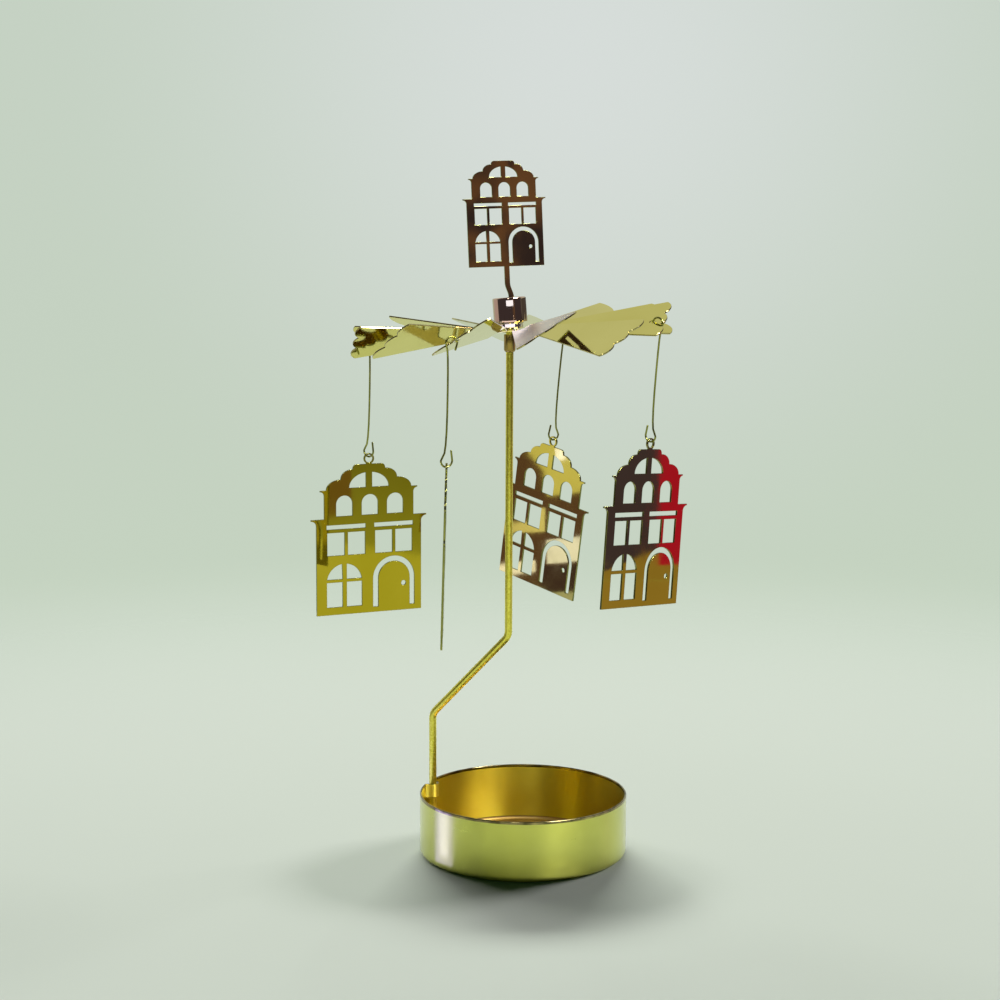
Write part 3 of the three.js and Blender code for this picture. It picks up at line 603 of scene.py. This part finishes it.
def punchFor(size, hook, pendant):
    # the hook's hole lies a loop's width in from where its shank passes the lobed edge of the vane
    across = -size["tipWidth"] / size["lobes"] / 2 - pendant["shift"]
    turn, reach = math.radians(pendant["turn"]), 2 * hook["loop"]
    out = size["notchRadius"] + lobeRise(size, across) + hook["notchGap"] - reach * math.cos(turn)
    across += reach * math.sin(turn) / math.cos(math.radians(size["twist"]))
    bpy.ops.mesh.primitive_cylinder_add(vertices=size["holeSides"], radius=size["holeForHook"] / 2 * mm,
                                        depth=size["holeDepth"] * mm)
    punch = bpy.context.object
    punch.data.transform(vanePlace(size, pendant["vane"]) @ turnAbout("X", size["twist"]) @ movedBy(out, across, 0))
    return punch


def makeRotorSheet(size, hook):
    edge, outer, inner = size["edge"], size["discDiameter"] / 2 - size["edge"], size["holeDiameter"] / 2 + size["edge"]
    rise = size["thickness"] / 2 - edge
    profile = traced(arc(outer, rise, edge, 0, 90, 3), arc(inner, rise, edge, 90, 180, 3),
                     arc(inner, -rise, edge, 180, 270, 3), arc(outer, -rise, edge, 270, 360, 3))
    points, faces = spun(profile, size["discSides"])
    sheet = makePiece("rotorSheet", points, faces, ["vaneGold", "vaneEdgePaintedShade", "vanePaintedSheen"], None, sheetPlace)
    vanes = [makeVane(size, index) for index in range(size["vanes"])]
    for pendant in pendants:
        cutAway(vanes[pendant["vane"]], punchFor(size, hook, pendant))
    joinPieces(sheet, vanes)
    return sheet


cap = {"diameter": 7.1, "height": 6.6, "wall": 0.4, "top": 0.5, "edge": 0.35, "lip": 0.08, "innerRound": 0.2,
       "seatGap": 0.25, "slotClearance": 0.2, "skirt": 1.35, "rimClear": 0.5, "topClear": 0.3, "middleShare": 0.5,
       "sides": 96}
collar = {"top": 2.6, "foot": 2.52, "wall": 0.5, "lip": 0.08, "bead": 0.17, "lift": 0.05, "flare": (0.04, 0.22),
          "taperEnd": (0.05, 0.35), "neck": 0.2, "neckRise": 0.3, "rise": 0.6, "sides": 96}
topHouse = {"width": 16.3, "height": 22.1, "x": 0.03, "rise": 6.5, "yaw": 14.0, "lean": -2.0, "stemWidth": 1.1,
            "bendDrop": 3.4, "footShift": 0.72, "belowCap": 0.75, "thickness": 0.45}
capBottom = -rotor["sheetDrop"] + rotor["thickness"] / 2 + cap["seatGap"]
capTop = capBottom + cap["height"]
rimHeight = capBottom + cap["skirt"]
topPlace = (rotorPlace @ movedBy(topHouse["x"], 0, capTop + topHouse["rise"])
            @ turnAbout("Z", topHouse["yaw"]) @ turnAbout("Y", -topHouse["lean"]))


def makeCap(size, house):
    # a drawn cup upside down: up the inside, round the rim, up the outside and over the rounded top
    outer, edge, lip, bend = size["diameter"] / 2, size["edge"], size["lip"], size["innerRound"]
    inner, ceiling, clearance = outer - size["wall"], capTop - size["top"], 2 * size["slotClearance"]
    profile = traced([0, ceiling], arc(inner - bend, ceiling - bend, bend, 90, 0, 4),
                     arc(inner + lip, rimHeight + lip, lip, 180, 270, 3),
                     arc(outer - lip, rimHeight + lip, lip, -90, 0, 3),
                     np.linspace([outer, rimHeight + size["rimClear"]],
                                 [outer, capTop - edge - size["topClear"]], 5),
                     arc(outer - edge, capTop - edge, edge, 0, 90, 8),
                     [outer * size["middleShare"], capTop], [0, capTop])
    points, faces = spun(profile, size["sides"])
    piece = makePiece("hubCap", points, faces, ["capPaintedRose"], None, rotorPlace)
    slotPlace = topPlace @ movedBy(house["footShift"], 0, -house["rise"] - size["top"] / 2)
    cutAway(piece, cuttingBox(slotPlace, (house["stemWidth"] + clearance, house["thickness"] + clearance,
                                          4 * size["top"])))
    return piece


def makeCollar(size):
    # a bead under the cap, and a collar that narrows down to the disc
    top, foot, lip, bead = size["top"], size["foot"], size["lip"], size["bead"]
    within, neck, (out, up), (back, down) = foot - size["wall"], top - size["neck"], size["flare"], size["taperEnd"]
    profile = traced([within, rimHeight + size["rise"]], [within, capBottom + size["lift"]],
                     arc(foot - lip, capBottom + lip, lip, -90, 0, 3),
                     np.linspace([foot + out, capBottom + up], [top - back, rimHeight - down], 4),
                     arc(top, rimHeight - bead, bead, -90, 90, 6),
                     [neck, rimHeight + size["neckRise"]], [neck, rimHeight + size["rise"]])
    points, faces = spun(profile, size["sides"])
    return makePiece("capCollar", points, faces, ["collarPaintedHighlight"], None, rotorPlace)


dress(makeRotorSheet(rotor, hooks), "rotor", ["vane_plate"])
print("vanes made")
dress(makeCap(cap, topHouse), "rotor", ["hub_cap"])
dress(makeCollar(collar), "rotor", ["hub_cap"])
bearing = frame["nodes"]["pivot_bearing"]
bearing.data.materials.clear()
bearing.data.materials.append(metals["bearingBrass"])
print("cap made")


# gabled houses, as shares of their width from the middle and of their height from the bottom

houseShares = {
    "bodyHalf": 0.5, "corniceHalf": 0.55, "corniceUnder": 0.6, "corniceLip": 0.636, "corniceTop": 0.646,
    "storeyHalf": 0.4255, "upperUnder": 0.8, "upperHalf": 0.4635, "upperLip": 0.828, "upperTop": 0.837,
    "gableHalf": (0.405, 0.268, 0.165), "gableRise": (0.837, 0.905, 0.968), "shoulderHalf": 0.155, "crownHalf": 0.12,
    "header": ((0.097, 0.467), (0.549, 0.921)), "headerUp": (0.575, 0.603),
    "pane": ((0.103, 0.266), (0.298, 0.461), (0.557, 0.721), (0.751, 0.912)), "paneUp": (0.399, 0.551),
    "arch": ((0.188, 0.342), (0.43, 0.584), (0.671, 0.825)), "archUp": (0.661, 0.797),
    "window": (0.097, 0.246, 0.286, 0.43), "windowUp": (0.052, 0.218, 0.239),
    "doorOuter": (0.536, 0.934), "doorInner": (0.586, 0.889), "doorFoot": 0.036, "doorSpring": 0.225,
    "fanHalf": (0.03, 0.188), "fanUp": (0.846, 0.946), "knob": (0.829, 0.184),
}
house = {"width": 24.5, "height": 33.1, "thickness": 0.45, "edge": 0.05, "ring": 2.4, "ringHole": 1.7,
         "ringRise": 2.35, "neck": 1.3, "knobHole": 1.1, "ringGap": 0.25}


def houseSide(size, share, steps=18):
    # the right half, from the bottom corner up: two flared cornices, two round lobes and the crown
    def flare(half, under, out, lip):
        return arc(share[out], share[under], (share[out] - share[half], share[lip] - share[under]), 180, 90,
                   steps // 2)

    def lobe(inner, outer, low, high, count=steps):
        return arc(inner, low, (outer - inner, high - low), 0, 90, count)

    (wide, middle, narrow), (low, high, top) = share["gableHalf"], share["gableRise"]
    side = traced([share["bodyHalf"], 0], flare("bodyHalf", "corniceUnder", "corniceHalf", "corniceLip"),
                  [share["corniceHalf"], share["corniceTop"]], [share["storeyHalf"], share["corniceTop"]],
                  flare("storeyHalf", "upperUnder", "upperHalf", "upperLip"),
                  [share["upperHalf"], share["upperTop"]],
                  lobe(middle, wide, low, high), lobe(narrow, middle, high, top)[1:],
                  lobe(share["crownHalf"], share["shoulderHalf"], top, 1, steps // 2))
    return side * [size["width"], size["height"]]


def houseOpenings(size, share, knobRadius, steps=24):
    width, height = size["width"], size["height"]

    def x(part):
        return (np.asarray(part) - 0.5) * width

    def rises(key):
        return np.asarray(share[key]) * height

    def box(span, low, high):
        left, right = x(span)
        return np.array([[left, low], [right, low], [right, high], [left, high]])

    def archTop(span, spring):
        return arc(x(sum(span) / 2), spring, (span[1] - span[0]) * width / 2, 0, 180, steps)

    loops = [box(span, *rises(key + "Up")) for key in ("header", "pane") for span in share[key]]
    foot, crown = rises("archUp")
    for span in share["arch"]:
        spring = crown - (span[1] - span[0]) * width / 2
        loops.append(traced([x(span[0]), foot], [x(span[1]), foot], archTop(span, spring)))

    outerLeft, innerLeft, innerRight, outerRight = x(share["window"])  # two panes under two quarter lights
    radius, middle = (outerRight - outerLeft) / 2, (outerLeft + outerRight) / 2
    sill, spring, transom = rises("windowUp")
    low, high = np.degrees([math.asin((transom - spring) / radius), math.acos((innerRight - middle) / radius)])
    loops += [box(share["window"][:2], sill, spring), box(share["window"][2:], sill, spring),
              traced([innerLeft, transom], arc(middle, spring, radius, 180 - high, 180 - low, steps // 2)),
              traced([innerRight, transom], arc(middle, spring, radius, low, high, steps // 2))]

    outer, inner = share["doorOuter"], share["doorInner"]  # the door's frame is one slot, up, over and down again
    foot, spring = rises("doorFoot"), rises("doorSpring")
    loops.append(traced([x(outer[1]), foot], archTop(outer, spring), [x(outer[0]), foot],
                        [x(inner[0]), foot], archTop(inner, spring)[::-1], [x(inner[1]), foot]))

    gap, reach = share["fanHalf"]
    base, top = rises("fanUp")
    fan = traced(arc(0, base, (reach * width, top - base), 0, 90 - math.degrees(math.asin(gap / reach)), steps // 2),
                 [gap * width, base])
    knob = arc(x(share["knob"][0]), share["knob"][1] * height, knobRadius, 0, 360, steps)[:-1]
    return [*loops, fan, mirrored(fan), knob]


def makeHangingHouse(name, size, share, wire, place, gold):
    # the outline ends in a ring, whose hole's upper edge lies over the hook's wire at the place's origin
    side = houseSide(size, share)
    outer, hole, neckHalf = size["ring"] / 2, size["ringHole"] / 2, size["neck"] / 2
    ringHeight = size["height"] + size["ringRise"] - outer
    neck = math.degrees(math.asin(neckHalf / outer))
    outline = traced(side, [neckHalf, size["height"]], arc(0, ringHeight, outer, neck - 90, 270 - neck, 44),
                     [-neckHalf, size["height"]], mirrored(side))
    openings = [arc(0, ringHeight, hole, 0, 360, 36)[:-1], *houseOpenings(size, share, size["knobHole"] / 2)]
    shift = np.array([0, -ringHeight - (hole - wire / 2 - size["ringGap"])])
    return piercedPlate(name, outline + shift, [loop + shift for loop in openings], size["thickness"], size["edge"],
                        [gold, "cutEdgePaintedShade"], place)


def makeTopHouse(size, share):
    # the stem runs over from the house's middle to the slot in the cap in an S
    side = houseSide(size, share)
    half, foot, shift = size["stemWidth"] / 2, size["rise"] + size["belowCap"], size["footShift"]
    blend = np.linspace(0, 1, 13)
    sway = shift * (1 - np.cos(math.pi * blend)) / 2
    run = -size["bendDrop"] + (size["bendDrop"] - size["rise"]) * blend
    right, left = np.stack([sway + half, run], axis=-1), np.stack([sway - half, run], axis=-1)
    outline = traced([shift - half, -foot], [shift + half, -foot], right[::-1], [half, 0],
                     side, mirrored(side), [-half, 0], left)
    knob = house["knobHole"] / 2 * size["width"] / house["width"]
    return piercedPlate("topHouse", outline, houseOpenings(size, share, knob), size["thickness"], house["edge"],
                        ["topGold", "cutEdgePaintedShade"], topPlace)


dress(makeTopHouse(topHouse, houseShares), "top_figure", ["top_house"])


# hooks, and the houses that hang from them

def hookPath(hook):
    # down from the upper end, over the loop, down the leaning shank and round the lower loop
    radius, span, end = hook["loop"], hook["span"], hook["curl"] - hook["loop"]
    flat = traced([end, -hook["upperEnd"]], arc(0, 0, radius, 180, 0, 22),
                  [hook["shankTop"], -hook["bend"]], [hook["shankBottom"], hook["bend"] - span],
                  arc(0, -span, radius, 0, -180, 22), [end, hook["lowerEnd"] - span])
    for _ in range(2):  # corners rounded by cutting each line at its quarters
        near, far = flat[:-1] * 0.75 + flat[1:] * 0.25, flat[:-1] * 0.25 + flat[1:] * 0.75
        flat = traced(flat[0], np.stack([near, far], axis=1), flat[-1])
    return np.insert(flat, 1, 0, axis=1)


for number, pendant in enumerate(pendants, 1):
    joint = joints[f"hook_swing_{number}"]
    axis = joint["axis"]
    heading = math.degrees(math.atan2(axis[0], -axis[1]))  # the hook's way out, square to its axis
    place = (Matrix.Translation(Vector(joint["pos_m"])) @ turnAbout("Z", heading)
             @ turnAbout("Y", -pendant["hookLean"]))
    path, radii = roundEnds(hookPath(hooks), hooks["wire"] / 2)
    points, faces = tube(path, radii, hooks["sides"], (0, 1, 0))
    hookPiece = makePiece(f"wireHook{number}", points, faces, ["wireGold"], None, place)
    dress(hookPiece, f"hook_{number}", [f"hook_{number}"])
    hang = (Matrix.Translation(Vector(joints[f"house_swing_{number}"]["pos_m"])) @ turnAbout("Z", pendant["yaw"])
            @ turnAbout("Y", -pendant["lean"]) @ turnAbout("X", pendant["tilt"]))
    housePiece = makeHangingHouse(f"hangingHouse{number}", house, houseShares, hooks["wire"], hang,
                                  f"houseGold{number}")
    dress(housePiece, f"house_{number}", [f"house_{number}"])
print("houses and hooks made")


# floor and backdrop, in metres and as parts of a direction

studio = {
    "floorColour": (0.678, 0.752, 0.655), "mottle": 0.015, "mottleNoise": (6.0, 3.0),  # scale and detail
    "floorRings": (0.0, 0.2, 0.5, 1.0, 2.4), "floorSides": 96, "fadeFrom": 0.07, "fadeTo": 0.38,
    "rises": (-0.36, -0.25, -0.19, -0.09, 0.06),
    "tones": ((0.610, 0.680, 0.580), (0.598, 0.670, 0.584), (0.558, 0.650, 0.530), (0.555, 0.640, 0.535),
              (0.560, 0.642, 0.548)),
    "glow": (0.115, 0.078, 0.150), "glowPlace": (0.025, 1.0, 0.03), "glowReach": 0.25,
    "ambient": (0.010, 0.021, 0.008), "room": (0.060, 0.050, 0.060), "backSky": (0.66, 0.67, 0.66),
    "roomEnds": (-0.15, 0.35), "floorStarts": (-0.06, -0.24), "skyStarts": (0.05, 0.5),  # in mirrors alone
}


def makeFloor(settings):
    # a pale round floor that thins out into the backdrop's colour with distance from the middle
    turn, rings = allRound(settings["floorSides"]), np.array(settings["floorRings"])
    points = np.stack([np.outer(rings, line) for line in (np.cos(turn), np.sin(turn), 0 * turn)], axis=-1)
    mesh = bpy.data.meshes.new("floor")
    mesh.from_pydata(points.reshape(-1, 3).tolist(), [], gridFaces(len(rings), len(turn), False, True).tolist())
    material = bpy.data.materials.new("paleFloor")
    tree = clearTree(material)
    place = addNode(tree, "TexCoord")["Object"]
    distance = addNode(tree, "VectorMath", {0: place}, operation="LENGTH")["Value"]
    grain = addNoise(tree, place, *settings["mottleNoise"])
    darker, lighter = ([part * share for part in settings["floorColour"]]
                       for share in (1 - settings["mottle"], 1 + settings["mottle"]))
    matt = addNode(tree, "BsdfDiffuse", {"Color": mixColours(tree, grain, darker, lighter)})["BSDF"]
    fade = smoothStep(tree, distance, settings["fadeFrom"], settings["fadeTo"])
    surface = mixShaders(tree, fade, matt, addNode(tree, "BsdfTransparent")["BSDF"])
    addNode(tree, "OutputMaterial", {"Surface": surface})
    mesh.materials.append(material)
    addObject("floor", mesh)


def makeWorld(settings):
    # camera rays see a pale gradient by height with a soft glow behind the object; mirrors see that backdrop
    # behind it, the pale floor below and a dim room in front; a little soft light comes from all round
    world = bpy.data.worlds.new("studio")
    bpy.context.scene.world = world
    tree = clearTree(world)

    def combined(operation, first, second):
        return addNode(tree, "Math", {0: first, 1: second}, operation=operation)["Value"]

    direction = addNode(tree, "TexCoord")["Generated"]
    part = addNode(tree, "SeparateXYZ", {"Vector": direction})
    rises = settings["rises"]
    rise = addNode(tree, "MapRange", {"Value": part["Z"], "From Min": rises[0], "From Max": rises[-1]})["Result"]
    sky = addRamp(tree, rise, [((height - rises[0]) / (rises[-1] - rises[0]), tone)
                               for height, tone in zip(rises, settings["tones"])])
    away = addNode(tree, "VectorMath", {0: direction, 1: settings["glowPlace"]}, operation="DISTANCE")["Value"]
    near = smoothStep(tree, away, settings["glowReach"], 0.0)
    glow = addNode(tree, "VectorMath", {0: settings["glow"], "Scale": near}, operation="SCALE")["Vector"]
    backdrop = addNode(tree, "VectorMath", {0: sky, 1: glow}, operation="ADD")["Vector"]
    pale = combined("MAXIMUM", smoothStep(tree, part["Y"], *settings["roomEnds"]),
                    smoothStep(tree, part["Z"], *settings["floorStarts"]))
    high = mixColours(tree, smoothStep(tree, part["Z"], *settings["skyStarts"]), backdrop, settings["backSky"])
    room = mixColours(tree, pale, settings["room"], high)
    ray = addNode(tree, "LightPath")
    seen = combined("MAXIMUM", combined("MAXIMUM", ray["Is Camera Ray"], ray["Is Glossy Ray"]),
                    ray["Is Transmission Ray"])
    direct = combined("MULTIPLY", seen, combined("LESS_THAN", ray["Diffuse Depth"], 0.5))
    light = addNode(tree, "Background", {"Color": settings["ambient"]})["Background"]
    view = mixColours(tree, ray["Is Glossy Ray"], backdrop, room)
    shown = addNode(tree, "Background", {"Color": view})["Background"]
    addNode(tree, "OutputWorld", {"Surface": mixShaders(tree, direct, light, shown)})


makeFloor(studio)
makeWorld(studio)


# lamps: each one's share of the floor's light, its bearing from straight behind (clockwise from above), its rise,
# and its width and height in degrees as seen from the object

lampDistance = 4.0
lamps = [
    {"name": "leftBox", "share": (0.16, 0.150, 0.157), "bearing": -38, "rise": 26, "width": 26, "height": 10},
    {"name": "backBox", "share": (0.57, 0.570, 0.560), "bearing": -5, "rise": 21, "width": 40, "height": 8},
    {"name": "rightBox", "share": (0.22, 0.205, 0.220), "bearing": 54, "rise": 21.5, "width": 20, "height": 9},
    {"name": "highBox", "share": (0.02, 0.025, 0.02), "bearing": -5, "rise": 46, "width": 30, "height": 10},
]


def makeLamp(settings):
    # a card of light that faces the middle, its power worked out from its share of the floor's light:
    # power = share * pi^2 * distance^2 / sin(rise)
    rise, bearing = math.radians(settings["rise"]), math.radians(settings["bearing"])
    data = bpy.data.lights.new(settings["name"], "AREA")
    data.shape = "RECTANGLE"
    data.size, data.size_y = (2 * lampDistance * math.tan(math.radians(settings[side] / 2))
                              for side in ("width", "height"))
    share = max(settings["share"])
    data.energy = share * math.pi ** 2 * lampDistance ** 2 / math.sin(rise)
    data.color = [part / share for part in settings["share"]]
    lamp = addObject(settings["name"], data)
    lamp.location = lampDistance * Vector((math.sin(bearing) * math.cos(rise), math.cos(bearing) * math.cos(rise),
                                           math.sin(rise)))
    lamp.rotation_euler = (-lamp.location).to_track_quat("-Z", "Y").to_euler()
    lamp.visible_glossy = lamp.visible_camera = False


for lamp in lamps:
    makeLamp(lamp)


# cards that only the metal mirrors: a colour and corners, and for one a second colour that mottles it

def flatAt(axis, value, *pairs):
    # corners that share one x, y or z, typed as pairs of the other two
    return np.insert(np.array(pairs, float), "xyz".index(axis), value, axis=1)


def upright(first, second, low, high):
    # corners of a screen that stands between two places on the floor
    return np.array([(*first, low), (*second, low), (*second, high), (*first, high)], float)


cards = {
    # left of the cup: the white band on it
    "leftFloorCard": ((0.9, 0.85, 2.6),
                      flatAt("z", 1, (-20.4, -11.8), (-73.4, 11.8), (-74.7, -22.4), (-16.9, -17.1))),
    "leftInnerCard": ((1.75, 1.65, 5.1),
                      flatAt("z", 1.3, (-24, -12.6), (-73.4, 4.5), (-74.7, -15), (-22.0, -15.9))),
    # in front, in most pieces
    "frontRightCard": ((43, 43, 43), upright((582, -145), (353, -485), 560, 1000)),
    "frontLeftCard": ((10, 10, 10), upright((-42, -598), (-165, -577), 500, 820)),
    "frontFloorCard": ((0.68, 0.76, 0.60),
                       flatAt("z", 0.6, (-220, -330), (220, -330), (220, -5), (38, -5), (33, -19), (23, -31),
                              (8, -38), (-8, -38), (-23, -31), (-33, -19), (-38, -5), (-220, -5))),
    "frontLowCard": ((0.85, 0.92, 0.66), upright((-300, -340), (250, -340), 0.6, 75)),
    # in the cap and its collar
    "capGlintCard": ((1.6, 2.0, 2.7), flatAt("y", -200, (-80, 125.2), (95, 139.2), (95, 141.6), (-80, 127.6))),
    "collarCard": ((1.25, 1.2, 1.3), flatAt("y", -8.5, (-14, 113.5), (2.5, 114.7), (2.5, 116.6), (-14, 115.4))),
    "capLeftCard": ((0.56, 0.50, 0.52), upright((-149, -13), (-123, 86), 96, 124)),
    "capSideCard": ((0.090, 0.085, 0.080), upright((250, 5), (45, 246), 95, 145)),
    # in the small house
    "topMottleCard": ((0.045, 0.040, 0.050), upright((238, -656), (397, -572), 150, 300),
                      {"tint": (0.19, 0.118, 0.062), "noise": (55.0, 1.5, 0.5, 0.8), "ends": (0.44, 0.58)}),
    # in the house at the far left
    "firstBrownCard": ((0.24, 0.17, 0.22),
                       np.array([(126, -171.7, 40.5), (135, -167.2, 48), (135, -166.7, 32.5), (127, -171.2, 31)])),
    # in the house at the right
    "rightDarkCard": ((0.075, 0.062, 0.34), flatAt("x", 340, (-80, 0.7), (8, 0.7), (34.3, 12), (34.3, 85), (-80, 85))),
    "rightRedCard": ((0.62, 0.016, 0.20), flatAt("x", 340, (34.3, 6.5), (90, 8), (90, 85), (34.3, 85))),
    "rightFloorCard": ((0.45, 0.355, 0.24), flatAt("z", 0.6, (225, -90), (341, -90), (341, 90), (225, 90))),
    "rightLowCard": ((0.42, 0.33, 0.22), flatAt("x", 342, (-90, 0.6), (90, 0.6), (90, 20), (-90, 20))),
    # in the house behind the rod
    "thirdBrownCard": ((0.14, 0.085, 0.065), flatAt("x", -206, (15, 7.7), (64, 14.2), (64, 66), (15, 66))),
    "thirdShadeCard": ((0.075, 0.05, 0.06),
                       flatAt("x", -203, (27.5, 10.5), (37.5, 10), (39, 14), (38, 18.5), (27.2, 19.3), (26, 15))),
    "thirdPeachCard": ((1.25, 1.38, 1.95), flatAt("x", -200, (25.6, 28.7), (36.6, 27.5), (36.3, 19.7), (25.4, 20.9))),
    "thirdStripCard": ((1.5, 1.6, 2.2), flatAt("x", -200, (40.2, 20.9), (56, 18.7), (56, 14.6), (40.2, 17.0))),
    "thirdBandCard": ((0.95, 0.95, 0.55),
                      flatAt("x", -200, (37.4, 37.8), (40.2, 37.8), (40.4, 33.3), (52, 33.3), (52, 29.4),
                             (37.4, 30.2))),
    "thirdGoldCard": ((0.85, 0.87, 0.34),
                      flatAt("x", -200, (22, 43.8), (36.5, 41.5), (38, 50), (43, 56), (43, 62), (22, 62))),
    "thirdWhiteCard": ((1.9, 2.1, 3.2), flatAt("x", -199, (30.9, 53.7), (34, 53), (34.4, 57.2), (30.9, 57.8))),
}


def makeCard(name, colour, corners, mottle=None):
    mesh = bpy.data.meshes.new(name)
    mesh.from_pydata((corners * mm).tolist(), [], [tuple(range(len(corners)))])
    material = bpy.data.materials.new(name)
    tree = clearTree(material)
    if mottle:
        noise = addNoise(tree, addNode(tree, "TexCoord")["Object"], *mottle["noise"])
        colour = addRamp(tree, noise, list(zip(mottle["ends"], (colour, mottle["tint"]))))
    direct = addNode(tree, "Math", {0: addNode(tree, "LightPath")["Diffuse Depth"], 1: 0.5},
                     operation="LESS_THAN")["Value"]  # no light is thrown on to the floor
    glow = addNode(tree, "Emission", {"Color": colour, "Strength": direct})["Emission"]
    addNode(tree, "OutputMaterial", {"Surface": glow})
    mesh.materials.append(material)
    card = addObject(name, mesh)
    card.visible_camera = card.visible_diffuse = card.visible_shadow = card.visible_transmission = False


for name, card in cards.items():
    makeCard(name, *card)
bpy.context.scene.view_settings.view_transform = "Standard"
print("studio made")
